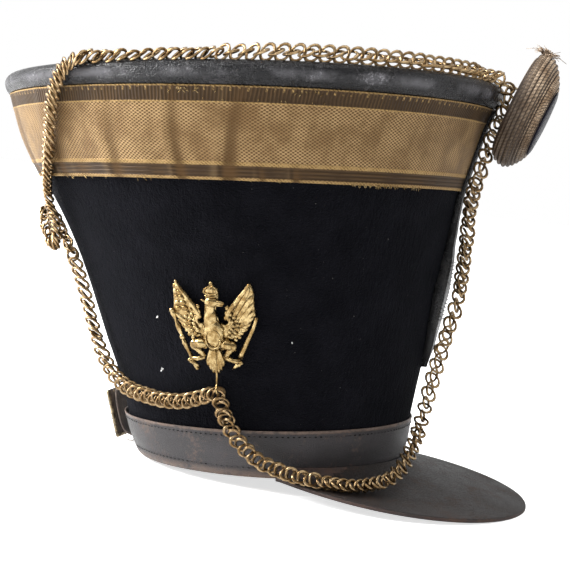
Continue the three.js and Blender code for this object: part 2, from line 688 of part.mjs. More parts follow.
// The buckle's open frame.
function backBuckle() {
  const { centre, lean, height, width, wire } = BUCKLE;
  const corner = (x, y, inset) => new THREE.Vector2(x * (width / 2 - inset), y * (height / 2 - inset));
  const around = (inset) => [corner(-1, -1, inset), corner(1, -1, inset), corner(1, 1, inset), corner(-1, 1, inset)];
  const outline = new THREE.Shape(around(0));
  outline.holes.push(new THREE.Path(around(wire)));
  const frame = new THREE.ExtrudeGeometry(outline, { depth: wire, bevelEnabled: false });
  const across = new THREE.Vector3(0, -1, 0);
  const up = new THREE.Vector3(-Math.sin(lean), 0, Math.cos(lean));
  const out = new THREE.Vector3().crossVectors(across, up);
  frame.applyMatrix4(new THREE.Matrix4().makeBasis(across, up, out));
  frame.translate(centre.x, centre.y, centre.z);
  return closedBody(frame);
}

// A doubled leather tab: it leaves the cloth above the headband, hangs down inside the buckle and turns
// back to the band.
function backStrap() {
  const rows = [
    { stand: -0.4, z: 39 },
    { stand: 3.4, z: 40.4 },
    { stand: 8, z: 38.4 },
    { stand: 9.8, z: 31 },
    { stand: 10.4, z: 18 },
    { stand: 9.8, z: 10 },
    { stand: 6, z: 7 },
    { stand: 1.8, z: 9 },
  ];
  const steps = rows.length - 1;
  return bentBox(2, steps, (u, v, w) => {
    const i = Math.round(v * steps);
    const before = rows[Math.max(i - 1, 0)];
    const after = rows[Math.min(i + 1, steps)];
    const run = new THREE.Vector2(after.stand - before.stand, after.z - before.z).normalize();
    const deep = (w - 0.5) * STRAP.thickness;
    const halfTurn = THREE.MathUtils.radToDeg(STRAP.halfWidth / OUTLINE[1].side);
    const turn = STRAP.turn + (u * 2 - 1) * halfTurn;
    return hatPoint(turn, rows[i].z + run.x * deep, rows[i].stand - run.y * deep);
  });
}

// ---- the whole hat ----

function shako() {
  const hat = new THREE.Group();
  addPart(hat, 'crown_body', crownBody(), FINISHES.cloth);
  addPart(hat, 'crown_top', crownTop(), FINISHES.blackLeather);
  addPart(hat, 'top_rim', topRim(), FINISHES.blackLeather);
  addPart(hat, 'lace_band', laceBand(), FINISHES.goldLace);
  addPart(hat, 'head_band', headBand(), FINISHES.brownLeather);
  addPart(hat, 'peak', peak(), FINISHES.brownLeather);
  addPart(hat, 'front_loop', frontLoop(), FINISHES.blackLeather);
  addPart(hat, 'pompom', pompom(), FINISHES.silverCord);
  addPart(hat, 'pompom_face', pompomFace(), FINISHES.velvet);
  addPart(hat, 'pompom_stem', pompomStem(), FINISHES.iron);
  addPart(hat, 'eagle_badge', eagleBadge(), FINISHES.gilt);
  addChain(hat);
  addPart(hat, 'back_strap', backStrap(), FINISHES.brownLeather);
  addPart(hat, 'back_buckle', backBuckle(), FINISHES.iron);
  return hat;
}

// Tips the hat back onto its peak and sets it down with the middle of its box over the origin.
function standing(hat) {
  const stand = new THREE.Group();
  hat.rotation.y = -REST_TILT;
  stand.add(hat);
  stand.updateMatrixWorld(true);
  const box = new THREE.Box3().setFromObject(stand, true);
  const middle = box.getCenter(new THREE.Vector3());
  stand.position.set(-middle.x, -middle.y, -box.min.z);
  return stand;
}

export default standing(shako());
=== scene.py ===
"""Builds the looks of a bell-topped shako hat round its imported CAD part."""

from __future__ import annotations

import logging
import math
import random
from dataclasses import dataclass
from enum import Enum
from functools import lru_cache
from typing import Callable, Iterator, Sequence

import bmesh
import bpy
from mathutils import Matrix, Vector, noise


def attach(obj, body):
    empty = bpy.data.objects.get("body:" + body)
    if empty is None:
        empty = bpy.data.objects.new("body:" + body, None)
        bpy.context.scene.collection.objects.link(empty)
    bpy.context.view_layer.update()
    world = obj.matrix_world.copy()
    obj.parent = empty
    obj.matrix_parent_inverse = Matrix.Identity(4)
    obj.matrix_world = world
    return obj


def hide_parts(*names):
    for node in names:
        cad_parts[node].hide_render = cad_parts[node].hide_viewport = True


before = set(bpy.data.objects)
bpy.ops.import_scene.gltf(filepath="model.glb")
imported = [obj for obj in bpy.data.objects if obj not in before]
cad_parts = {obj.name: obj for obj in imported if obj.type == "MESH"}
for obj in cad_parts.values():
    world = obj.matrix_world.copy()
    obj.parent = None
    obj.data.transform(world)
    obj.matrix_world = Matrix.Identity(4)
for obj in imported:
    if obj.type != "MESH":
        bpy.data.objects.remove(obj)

LOG = logging.getLogger("shako")

MM = 0.001
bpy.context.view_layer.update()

# How the hat stands: tipped back by this many degrees, then moved by this many millimetres.
REST_TILT = 4.6
REST_SHIFT = Vector((14.953, 0.0, 7.298))
STANDING = (
    Matrix.Scale(MM, 4)
    @ Matrix.Translation(REST_SHIFT)
    @ Matrix.Rotation(math.radians(-REST_TILT), 4, "Y")
)

BMesh = bmesh.types.BMesh
Socket = bpy.types.NodeSocket
Placer = Callable[[float, float, float], Vector]
Section = Sequence[tuple[float, float]]
Colour = tuple[float, float, float, float]
UP = Vector((0, 0, 1))


@dataclass(frozen=True)
class Girth:
    """How far the outline reaches to the front, the back and each side at one height, in mm."""

    z: float
    front: float
    back: float
    side: float


OUTLINE = tuple(Girth(*row) for row in (
    (0, 89, 91, 76), (15, 93, 97, 80), (30, 95.5, 101, 83.5), (50, 99, 106, 88), (80, 105, 117, 97),
    (110, 110, 127, 106), (140, 115, 138.5, 115), (165, 119.5, 151, 124.5), (184, 123, 162, 132.5),
    (197, 127, 169.5, 138), (210, 131, 175.5, 143.5), (225, 136, 180, 149), (237, 141.5, 183, 153.5),
    (252, 148, 185.5, 158.5),
))


@lru_cache(maxsize=None)
def girth_at(z: float) -> Girth:
    """Gives the outline's smooth reach at a height.

    Args:
        z: The height above the hat's lower edge, in mm.

    Returns:
        The reach to the front, the back and the side.
    """
    last = len(OUTLINE) - 1
    if z <= OUTLINE[0].z:
        return OUTLINE[0]
    if z >= OUTLINE[last].z:
        return OUTLINE[last]
    i = next(k for k, row in enumerate(OUTLINE) if row.z > z) - 1
    before, low = OUTLINE[max(i - 1, 0)], OUTLINE[i]
    high, after = OUTLINE[i + 1], OUTLINE[min(i + 2, last)]
    span = high.z - low.z
    t = (z - low.z) / span

    def smooth(name: str) -> float:
        """Blends one column with matching slopes at both rows."""
        a, b = getattr(low, name), getattr(high, name)
        start = (b - getattr(before, name)) / (high.z - before.z)
        end = (getattr(after, name) - a) / (after.z - low.z)
        ease = t * t * (3 - 2 * t)
        return a + (b - a) * ease + t * (1 - t) ** 2 * span * start + t * t * (t - 1) * span * end

    return Girth(z, smooth("front"), smooth("back"), smooth("side"))


def hat_point(turn: float, z: float, stand: float) -> Vector:
    """Finds a place on or off the outline.

    Args:
        turn: Degrees round from the front. The wearer's right is negative.
        z: The height, in mm.
        stand: The distance out from the outline, in mm.

    Returns:
        The place in the upright hat, in mm.
    """
    row = girth_at(round(z, 3))
    half_length = (row.front + row.back) / 2
    angle = math.radians(turn)
    out = Vector((math.cos(angle) / half_length, math.sin(angle) / row.side, 0)).normalized()
    x = (row.front - row.back) / 2 + half_length * math.cos(angle)
    return Vector((x, row.side * math.sin(angle), z)) + out * stand


def hat_outward(turn: float, z: float) -> Vector:
    """Gives the level direction straight out of the outline."""
    return (hat_point(turn, z, 1) - hat_point(turn, z, 0)).normalized()


def put(name: str, data: bpy.types.ID) -> bpy.types.Object:
    """Adds an object with its data to the scene."""
    holder = bpy.data.objects.new(name, data)
    bpy.context.scene.collection.objects.link(holder)
    return holder


class MeshPiece:
    """One finished piece: a mesh in place, its materials, and what it stands for."""

    def __init__(self, name: str, mesh: BMesh, *materials: bpy.types.Material):
        """Makes the object, with outward faces, from a mesh drawn in the upright hat, in mm."""
        bmesh.ops.transform(mesh, matrix=STANDING, verts=mesh.verts)
        if mesh.calc_volume(signed=True) < 0:
            bmesh.ops.reverse_faces(mesh, faces=mesh.faces)
        data = bpy.data.meshes.new(name)
        mesh.to_mesh(data)
        mesh.free()
        for material in materials:
            data.materials.append(material)
        for face in data.polygons:
            face.use_smooth = True
        self.object = put(name, data)

    def rounded(self, levels: int) -> MeshPiece:
        """Adds a subdivision surface with the same level in view and render."""
        modifier = self.object.modifiers.new("round", "SUBSURF")
        modifier.levels = levels
        modifier.render_levels = levels
        return self

    def settle(self, slot: str, *nodes: str) -> bpy.types.Object:
        """Fixes the piece to the hat and hides the CAD nodes it stands for.

        Args:
            slot: The record's material slot. It is not used.
            nodes: The CAD nodes that the piece replaces.

        Returns:
            The finished object.
        """
        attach(self.object, "root")
        if nodes:
            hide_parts(*nodes)
        LOG.info("%s: %d faces", self.object.name, len(self.object.data.polygons))
        return self.object


def close_up(mesh: BMesh) -> None:
    """Joins doubled corners and turns every face outward."""
    bmesh.ops.remove_doubles(mesh, verts=mesh.verts, dist=1e-4)
    bmesh.ops.recalc_face_normals(mesh, faces=mesh.faces)


SPIN_RADIUS = 100.0
AXIS_GAP = 0.01


def spin_round(points: Section, steps: int, closed: bool = False) -> BMesh:
    """Spins a line of points once round the upright axis.

    Args:
        points: Each corner's radius and height, in mm.
        steps: How many steps the turn takes.
        closed: Whether the last corner joins the first. Otherwise both lie on the axis.

    Returns:
        The closed mesh.
    """
    mesh = bmesh.new()
    corners = [mesh.verts.new((radius, 0, z)) for radius, z in points]
    after = corners[1:] + corners[:1] if closed else corners[1:]
    spin_about_up(mesh, corners + [mesh.edges.new(pair) for pair in zip(corners, after)], steps)
    return mesh


def spin_about_up(mesh: BMesh, geometry: list, steps: int) -> None:
    """Spins geometry once round the upright axis and closes the result."""
    bmesh.ops.spin(
        mesh, geom=geometry, cent=(0, 0, 0), axis=UP, dvec=(0, 0, 0), angle=math.tau, steps=steps,
        use_merge=True, use_duplicate=False,
    )
    close_up(mesh)


def turned_loops(mesh: BMesh) -> Iterator[tuple[bmesh.types.BMLoop, float]]:
    """Goes through a spun mesh's face corners, with a turn in radians that doesn't jump inside a face."""
    for face in mesh.faces:
        middle = face.calc_center_median()
        home = math.atan2(middle.y, middle.x)
        for loop in face.loops:
            co = loop.vert.co
            turn = math.atan2(co.y, co.x) if co.xy.length > AXIS_GAP else home
            yield loop, turn + math.tau * round((home - turn) / math.tau)


def spun_wall(
    section: Section, steps: int, place: Placer, fold: Callable[[float, float], float] | None = None
) -> BMesh:
    """Spins a closed section once round and bends it to the hat.

    The UV map holds metres round the hat and metres of height.

    Args:
        section: The corners as height and distance out from the outline, in mm.
        steps: How many steps the turn takes.
        place: Gives a corner's place from turn, height and distance out.
        fold: Gives the "fold" attribute from turn and height, where one is wanted.

    Returns:
        The closed wall.
    """
    mesh = spin_round([(SPIN_RADIUS + stand, z) for z, stand in section], steps, closed=True)
    layer = mesh.loops.layers.uv.new("UVMap")
    for loop, turn in turned_loops(mesh):
        loop[layer].uv = (turn * SPIN_RADIUS * MM, loop.vert.co.z * MM)
    mark = mesh.verts.layers.float.new("fold") if fold else None
    for vert in mesh.verts:
        turn = math.degrees(math.atan2(vert.co.y, vert.co.x))
        if fold:
            vert[mark] = fold(turn, vert.co.z)
        vert.co = place(turn, vert.co.z, math.hypot(vert.co.x, vert.co.y) - SPIN_RADIUS)
    return mesh


def bent_slab(u_steps: int, v_steps: int, place: Placer) -> BMesh:
    """Makes a slab whose corners follow place(u, v, w), each from 0 to 1.

    Args:
        u_steps: Steps across.
        v_steps: Steps along.
        place: Gives a corner's place in mm. w is 0 underneath and 1 on top.

    Returns:
        The closed slab, with u and v in its UV map.
    """
    mesh = bmesh.new()
    bmesh.ops.create_grid(mesh, x_segments=u_steps, y_segments=v_steps, size=0.5)
    bmesh.ops.translate(mesh, vec=(0.5, 0.5, 1), verts=mesh.verts)
    lower = bmesh.ops.extrude_face_region(mesh, geom=mesh.faces[:])["geom"]
    moved = [item for item in lower if isinstance(item, bmesh.types.BMVert)]
    bmesh.ops.translate(mesh, vec=(0, 0, -1), verts=moved)
    bmesh.ops.recalc_face_normals(mesh, faces=mesh.faces)
    layer = mesh.loops.layers.uv.new("UVMap")
    for face in mesh.faces:
        for loop in face.loops:
            loop[layer].uv = loop.vert.co.xy
    for vert in mesh.verts:
        vert.co = place(*vert.co)
    bmesh.ops.recalc_face_normals(mesh, faces=mesh.faces)
    return mesh


def add_ball(mesh: BMesh, matrix: Matrix, around: int = 10, down: int = 6) -> None:
    """Adds a ball of radius 1 moved by a matrix."""
    bmesh.ops.create_uvsphere(mesh, u_segments=around, v_segments=down, radius=1, matrix=matrix)


def stretched(centre: Vector, along: Vector, up: Vector, sizes: tuple[float, float, float]) -> Matrix:
    """Makes a matrix that stretches a unit shape along its own axes.

    Args:
        centre: Where the shape's middle goes.
        along: The way its first axis points.
        up: Roughly the way its third axis points.
        sizes: Half lengths on its three axes.

    Returns:
        The matrix.
    """
    first = along.normalized()
    second = up.cross(first).normalized()
    third = first.cross(second)
    turn = Matrix((first, second, third)).transposed().to_4x4()
    return Matrix.Translation(centre) @ turn @ Matrix.Diagonal((*sizes, 1))


def add_wire(mesh: BMesh, points: Sequence[Vector], radii: Sequence[float], sides: int = 6) -> None:
    """Adds a capped wire that follows points.

    Args:
        mesh: The mesh that takes it.
        points: The middle line, in mm.
        radii: The radius at each point.
        sides: Corners round the wire.
    """
    tangents = [
        (points[min(i + 1, len(points) - 1)] - points[max(i - 1, 0)]).normalized() for i in range(len(points))
    ]
    side = tangents[0].orthogonal().normalized()
    rings = []
    for point, tangent, radius in zip(points, tangents, radii):
        side = (side - tangent * side.dot(tangent)).normalized()
        spot = stretched(point, side, tangent, (radius, radius, radius))
        ring = bmesh.ops.create_circle(mesh, segments=sides, radius=1, cap_ends=False, matrix=spot)["verts"]
        rings.append(ring)
    loops = [list({edge for vert in ring for edge in vert.link_edges}) for ring in rings]
    for near, far in zip(loops, loops[1:]):
        bmesh.ops.bridge_loops(mesh, edges=[edge for edge in near + far if edge.is_valid])
    for rim in (loops[0], loops[-1]):
        bmesh.ops.holes_fill(mesh, edges=[edge for edge in rim if edge.is_valid], sides=sides)


def smooth_route(points: Sequence[Vector], steps: int) -> list[Vector]:
    """Runs a smooth open curve through points, with a number of steps between each two."""
    padded = [points[0] * 2 - points[1], *points, points[-1] * 2 - points[-2]]
    route = []
    for i in range(len(points) - 1):
        for k in range(steps):
            route.append(spline(padded[i : i + 4], k / steps))
    route.append(points[-1].copy())
    return route


def spline(four: Sequence[Vector], t: float) -> Vector:
    """Gives the point a share of the way from the second to the third of four points."""
    gaps = [max((b - a).length ** 0.5, 1e-6) for a, b in zip(four, four[1:])]
    m1 = ((four[1] - four[0]) / gaps[0] - (four[2] - four[0]) / (gaps[0] + gaps[1])) * gaps[1]
    m1 += four[2] - four[1]
    m2 = ((four[3] - four[2]) / gaps[2] - (four[3] - four[1]) / (gaps[1] + gaps[2])) * gaps[1]
    m2 += four[2] - four[1]
    a = (four[1] - four[2]) * 2 + m1 + m2
    b = (four[2] - four[1]) * 3 - m1 * 2 - m2
    return ((a * t + b) * t + m1) * t + four[1]


class Tree:
    """A node tree with short ways to add and join nodes."""

    def __init__(self, tree: bpy.types.NodeTree):
        """Wraps a tree."""
        self.tree = tree

    def add(self, kind: str, inputs: dict | None = None, **settings: object) -> bpy.types.Node:
        """Adds a node.

        Args:
            kind: The node's type name without its ShaderNode start.
            inputs: Values or sockets for named or numbered inputs.
            settings: Settings of the node itself.

        Returns:
            The node.
        """
        node = self.tree.nodes.new("ShaderNode" + kind)
        for name, value in settings.items():
            setattr(node, name, value)
        for key, value in (inputs or {}).items():
            if isinstance(value, Socket):
                self.tree.links.new(value, node.inputs[key])
            else:
                node.inputs[key].default_value = value
        return node

    def maths(self, operation: str, *values: object) -> Socket:
        """Adds a Math node and gives its output."""
        return self.add("Math", dict(enumerate(values)), operation=operation).outputs[0]

    def times(self, first: object, second: object) -> Socket:
        """Multiplies two values."""
        return self.maths("MULTIPLY", first, second)

    def plus(self, first: object, second: object) -> Socket:
        """Adds two values."""
        return self.maths("ADD", first, second)

    def minus(self, first: object, second: object) -> Socket:
        """Takes the second value from the first."""
        return self.maths("SUBTRACT", first, second)

    def wave(self, value: Socket, length: float) -> Socket:
        """Gives a sine wave of a length."""
        return self.maths("SINE", self.times(value, math.tau / length))

    def blend(self, mask: Socket, first: object, second: object) -> Socket:
        """Mixes two values by a mask."""
        return self.add("Mix", {0: mask, 2: first, 3: second}, data_type="FLOAT").outputs[0]

    def axis(self, vector: Socket, index: int) -> Socket:
        """Gives one axis of a vector."""
        return self.add("SeparateXYZ", {0: vector}).outputs[index]

    def ramp(self, value: Socket, low: float, high: float) -> Socket:
        """Turns the stretch from low to high into 0 to 1, smoothly."""
        node = self.add(
            "MapRange", {"Value": value, "From Min": low, "From Max": high},
            interpolation_type="SMOOTHSTEP", clamp=True,
        )
        return node.outputs["Result"]

    def mix(self, mask: object, first: object, second: object) -> Socket:
        """Mixes two colours by a mask."""
        node = self.add("Mix", {0: mask, 6: first, 7: second}, data_type="RGBA")
        return node.outputs[2]

    def noise(self, vector: Socket, scale: float, detail: float = 3) -> Socket:
        """Adds plain noise and gives its value."""
        return self.add("TexNoise", {"Vector": vector, "Scale": scale, "Detail": detail}).outputs["Fac"]

    def stretch(self, vector: Socket, scale: tuple[float, float, float]) -> Socket:
        """Scales a vector."""
        return self.add("Mapping", {"Vector": vector, "Scale": scale}).outputs[0]

    def group(self, tree: bpy.types.NodeTree, inputs: dict) -> Socket:
        """Places a shared effect with its own values and gives its first output."""
        return self.add("Group", inputs, node_tree=tree).outputs[0]

    def finish(self, ends: dict[str, Socket], **results: Socket) -> bpy.types.NodeTree:
        """Joins a shared effect's results to its outputs."""
        for key, value in results.items():
            self.tree.links.new(value, ends[key])
        return self.tree


def new_group(name: str, inputs: dict[str, str], outputs: dict[str, str]) -> tuple[Tree, dict, dict]:
    """Starts a shared effect.

    Args:
        name: The effect's name.
        inputs: Input names and whether each is a Float or a Vector.
        outputs: The same for outputs.

    Returns:
        The tree, its input sockets and its output sockets by name.
    """
    tree = bpy.data.node_groups.new(name, "ShaderNodeTree")
    for side, sockets in (("INPUT", inputs), ("OUTPUT", outputs)):
        for key, kind in sockets.items():
            tree.interface.new_socket(key, in_out=side, socket_type="NodeSocket" + kind)
    start = tree.nodes.new("NodeGroupInput")
    end = tree.nodes.new("NodeGroupOutput")
    return Tree(tree), {k: start.outputs[k] for k in inputs}, {k: end.inputs[k] for k in outputs}


@lru_cache(maxsize=None)
def mottle_effect() -> bpy.types.NodeTree:
    """Makes the soft blotches that age leaves on every surface."""
    t, given, out = new_group(
        "mottle", {"Vector": "Vector", "Scale": "Float", "Low": "Float", "High": "Float"}, {"Mask": "Float"}
    )
    cloud = t.add("TexNoise", {"Vector": given["Vector"], "Scale": given["Scale"], "Detail": 6, "Roughness": 0.6})
    shade = t.add(
        "MapRange", {"Value": cloud.outputs["Fac"], "From Min": given["Low"], "From Max": given["High"]},
        interpolation_type="SMOOTHSTEP",
    )
    return t.finish(out, Mask=shade.outputs["Result"])


@lru_cache(maxsize=None)
def grain_effect() -> bpy.types.NodeTree:
    """Makes leather's pebbled grain with fine cracks between."""
    t, given, out = new_group("leather_grain", {"Vector": "Vector", "Scale": "Float"}, {"Height": "Float"})
    cells = t.add("TexVoronoi", {"Vector": given["Vector"], "Scale": given["Scale"]}, feature="DISTANCE_TO_EDGE")
    cracks = t.ramp(cells.outputs["Distance"], 0.12, 0.0)
    rough = t.add("TexNoise", {"Vector": given["Vector"], "Scale": given["Scale"], "Detail": 5})
    height = t.minus(rough.outputs["Fac"], cracks)
    return t.finish(out, Height=height)


@lru_cache(maxsize=None)
def scuff_effect() -> bpy.types.NodeTree:
    """Makes fine scratches and rubbed patches."""
    t, given, out = new_group(
        "scuffs", {"Vector": "Vector", "Scale": "Float", "Amount": "Float"}, {"Mask": "Float"}
    )
    fine = t.add("TexNoise", {"Vector": given["Vector"], "Scale": given["Scale"], "Detail": 8, "Roughness": 0.75})
    wide = t.times(given["Scale"], 0.13)
    broad = t.add("TexNoise", {"Vector": given["Vector"], "Scale": wide, "Detail": 3})
    both = t.plus(t.times(fine.outputs["Fac"], 0.6), t.times(broad.outputs["Fac"], 0.4))
    edge = t.minus(0.62, t.times(given["Amount"], 0.2))
    top = t.plus(edge, 0.1)
    mask = t.add("MapRange", {"Value": both, "From Min": edge, "From Max": top})
    return t.finish(out, Mask=mask.outputs["Result"])


class Look:
    """One material under way: its tree, its shader and its coordinates."""

    def __init__(self, name: str, **fixed: object):
        """Starts a material.

        Args:
            name: The material's name.
            fixed: Values that are the same all over, by shader input name with _ for spaces.
        """
        self.material = bpy.data.materials.new(name)
        self.material.use_nodes = True
        self.tree = Tree(self.material.node_tree)
        self.shader = self.material.node_tree.nodes["Principled BSDF"]
        for key, value in fixed.items():
            self.shader.inputs[key.replace("_", " ")].default_value = value
        coordinates = self.tree.add("TexCoord")
        self.place = coordinates.outputs["Object"]
        self.uv = coordinates.outputs["UV"]

    def feed(self, name: str, socket: Socket) -> None:
        """Joins a socket to a shader input."""
        self.material.node_tree.links.new(socket, self.shader.inputs[name])

    def bump(self, height: Socket, depth: float, strength: float = 1.0) -> None:
        """Joins a height to the surface's normal, with its depth in metres."""
        node = self.tree.add("Bump", {"Height": height, "Distance": depth, "Strength": strength})
        self.feed("Normal", node.outputs[0])

    def mottle(self, scale: float, low: float, high: float) -> Socket:
        """Places the blotches in object coordinates."""
        return self.tree.group(mottle_effect(), {"Vector": self.place, "Scale": scale, "Low": low, "High": high})

    def scuffs(self, vector: Socket, scale: float, amount: float) -> Socket:
        """Places the scratches."""
        return self.tree.group(scuff_effect(), {"Vector": vector, "Scale": scale, "Amount": amount})

    def span(self, value: Socket, low: float, high: float, soft: float) -> Socket:
        """Gives 1 between two values and 0 outside, with soft edges."""
        rise = self.tree.ramp(value, low - soft, low + soft)
        fall = self.tree.ramp(value, high + soft, high - soft)
        return self.tree.times(rise, fall)


@dataclass(frozen=True)
class WoolFinish:
    """Black felted wool with a faint blue cast and a short nap."""

    name: str = "black_wool"
    dark: Colour = (0.0028, 0.0028, 0.0042, 1)
    light: Colour = (0.0075, 0.0074, 0.0102, 1)
    lint: Colour = (0.12, 0.115, 0.11, 1)

    def make(self) -> bpy.types.Material:
        """Makes the material."""
        look = Look(
            self.name, Roughness=0.9, Specular_IOR_Level=0.03, Sheen_Weight=0.016, Sheen_Roughness=0.5,
            Sheen_Tint=(0.8, 0.87, 1, 1),
        )
        t = look.tree
        nap = t.noise(look.place, 1000, 4)
        patches = look.mottle(45, 0.35, 0.7)
        colour = t.mix(t.times(nap, patches), self.dark, self.light)
        specks = t.ramp(t.noise(look.place, 700, 2), 0.765, 0.79)
        look.feed("Base Color", t.mix(specks, colour, self.lint))
        slubs = t.noise(t.stretch(look.place, (1, 1, 0.25)), 420, 3)
        look.bump(t.plus(nap, t.times(slubs, 0.8)), 0.0032, 0.9)
        return look.material


@dataclass(frozen=True)
class LeatherFinish:
    """Leather with grain, scuffs and worn edges between given heights in the UV map, and, where brushed, a painted
    highlight band between the shine heights.
    """

    name: str
    dark: Colour
    light: Colour
    worn: Colour
    roughness: tuple[float, float]
    grain: float
    depth: float
    scuffing: float
    wear_low: float = -1.0
    wear_high: float = -1.0
    pale_from: float = 1.0
    brushed: float = 0.0
    # The colour of the painted highlight band, which stands in for the light's reflection along the rim.
    painted_highlight: Colour = (0.42, 0.41, 0.44, 1)
    shine_low: float = 0.2415
    shine_high: float = 0.2465
    shine_soft: float = 0.0022
    shine: float = 0.5

    def make(self) -> bpy.types.Material:
        """Makes the material."""
        look = Look(self.name, Specular_IOR_Level=self.shine)
        t = look.tree
        grain = t.group(grain_effect(), {"Vector": look.place, "Scale": self.grain})
        patches = look.mottle(38, 0.32, 0.68)
        scuffs = look.scuffs(look.place, 420, self.scuffing)
        colour = t.mix(patches, self.dark, self.light)
        colour = t.mix(t.times(scuffs, 0.65), colour, self.worn)
        if self.wear_high > self.wear_low:
            height = t.axis(look.uv, 1)
            edge = t.ramp(height, self.wear_high, self.wear_low)
            rubbed = t.times(edge, look.mottle(160, 0.3, 0.55))
            colour = t.mix(rubbed, colour, self.worn)
            bead = t.ramp(height, self.pale_from, self.pale_from + 0.0012)
            colour = t.mix(t.times(bead, look.mottle(210, 0.25, 0.6)), colour, self.worn)
        low, high = self.roughness
        gloss = t.plus(t.times(patches, high - low), low)
        look.feed("Roughness", t.plus(gloss, t.times(scuffs, 0.2)))
        relief = t.plus(grain, t.times(scuffs, 0.3))
        # Where brushed, a patchy painted highlight band between the shine heights is mixed into the colour.
        if self.brushed:
            middle = look.span(t.axis(look.uv, 1), self.shine_low, self.shine_high, self.shine_soft)
            highlight_patches = t.times(look.mottle(30, 0.38, 0.62), t.plus(t.times(scuffs, 0.8), 0.25))
            colour = t.mix(t.times(middle, highlight_patches), colour, self.painted_highlight)
            drawn = t.noise(t.stretch(look.uv, (0.22, 1, 1)), 520, 6)
            relief = t.plus(relief, t.times(drawn, self.brushed))
        look.feed("Base Color", colour)
        look.bump(relief, self.depth, 0.8)
        return look.material


@dataclass(frozen=True)
class LaceFinish:
    """Dulled gold lace: a meshed field between ribbed brown borders with bright edge threads.

    Heights are metres in the UV map. The mesh's "fold" attribute is above 0 in hollows, which take painted shade, and
    below 0 on ridges, which take a painted highlight.
    """

    name: str = "gold_lace"
    gold: Colour = (0.212, 0.129, 0.055, 1)
    bright: Colour = (0.385, 0.258, 0.125, 1)
    hollow: Colour = (0.085, 0.044, 0.014, 1)
    border: Colour = (0.034, 0.018, 0.0065, 1)
    thread: Colour = (0.4, 0.26, 0.1, 1)
    pitch: float = 0.0019
    low_edge: float = 0.1857
    low_top: float = 0.1924
    field_low: float = 0.1945
    field_high: float = 0.2268
    high_low: float = 0.2277
    high_edge: float = 0.2357

    def make(self) -> bpy.types.Material:
        """Makes the material."""
        look = Look(self.name, Specular_IOR_Level=0.2, Sheen_Weight=0.02, Sheen_Roughness=0.4)
        t = look.tree
        wander = t.times(t.noise(look.place, 60, 2), 0.0012)
        u, v = t.plus(t.axis(look.uv, 0), wander), t.axis(look.uv, 1)
        weave = t.times(t.wave(u, self.pitch), t.wave(v, self.pitch))
        raised = t.ramp(weave, -0.5, 0.25)
        mottle = look.mottle(55, 0.35, 0.65)
        field = t.mix(raised, self.hollow, t.mix(mottle, self.gold, self.bright))
        streaks = t.ramp(t.noise(t.stretch(look.uv, (1, 0.08, 1)), 210, 4), 0.45, 0.75)
        field = t.mix(t.times(streaks, 0.16), field, self.hollow)
        ribs = t.ramp(t.wave(u, 0.0014), -0.7, 0.8)
        lines = t.ramp(t.wave(v, 0.0022), -0.6, 0.6)
        upper = t.ramp(v, self.field_low, self.field_high)
        rows = t.blend(upper, lines, ribs)
        lighter = t.mix(0.22, self.border, self.gold)
        ribbed = t.mix(rows, self.border, t.mix(mottle, self.border, lighter))
        low = look.span(v, self.low_edge, self.low_top, 0.0003)
        high = look.span(v, self.high_low, self.high_edge, 0.0003)
        bordered = t.plus(low, high)
        edges = t.plus(t.ramp(v, self.low_edge, self.low_edge - 0.0005),
                        t.ramp(v, self.high_edge, self.high_edge + 0.0003))
        inner = t.plus(look.span(v, self.low_top, self.field_low, 0.0003),
                        look.span(v, self.field_high, self.high_low, 0.0002))
        threads = t.plus(edges, inner)
        ticks = t.times(t.ramp(t.wave(u, 0.0031), 0.55, 0.85),
                        look.span(v, self.high_edge - 0.0022, self.high_edge, 0.0003))
        threads = t.plus(threads, t.times(ticks, look.mottle(240, 0.4, 0.6)))
        twist = t.ramp(t.wave(t.plus(u, t.times(v, 0.8)), 0.0015), -0.8, 0.3)
        shine = t.times(threads, t.plus(t.times(twist, 0.6), 0.3))
        colour = t.mix(shine, t.mix(bordered, field, ribbed), self.thread)
        # Painted shade darkens the fold hollows and a painted highlight lightens the fold ridges.
        fold = t.add("Attribute", None, attribute_name="fold").outputs["Fac"]
        colour = t.mix(t.times(t.ramp(fold, 0.05, 1.0), 0.85), colour, self.hollow)
        colour = t.mix(t.times(t.ramp(fold, 0.0, -1.0), 0.18), colour, self.bright)
        look.feed("Base Color", colour)
        look.feed("Metallic", t.minus(0.45, t.times(bordered, 0.15)))
        look.feed("Roughness", t.plus(0.48, t.times(mottle, 0.12)))
        relief = t.blend(bordered, raised, rows)
        look.bump(t.plus(relief, t.times(twist, threads)), 0.0004, 0.9)
        return look.material


@dataclass(frozen=True)
class MetalFinish:
    """Brass or iron with dirty blotches and brighter rubbed places."""

    name: str
    base: Colour
    bright: Colour
    dirt: Colour
    roughness: float
    metallic: float
    fine: float
    dirtiness: float = 0.75

    def make(self) -> bpy.types.Material:
        """Makes the material."""
        look = Look(self.name)
        t = look.tree
        rubbed = look.mottle(self.fine, 0.4, 0.62)
        dull = look.mottle(self.fine * 3.1, 0.5, 0.72)
        colour = t.mix(rubbed, self.base, self.bright)
        colour = t.mix(t.times(dull, self.dirtiness), colour, self.dirt)
        look.feed("Base Color", colour)
        look.feed("Metallic", t.minus(self.metallic, t.times(dull, 0.3)))
        look.feed("Roughness", t.plus(self.roughness, t.times(dull, 0.25)))
        look.bump(t.noise(look.place, 2600, 3), 0.00012, 0.6)
        return look.material


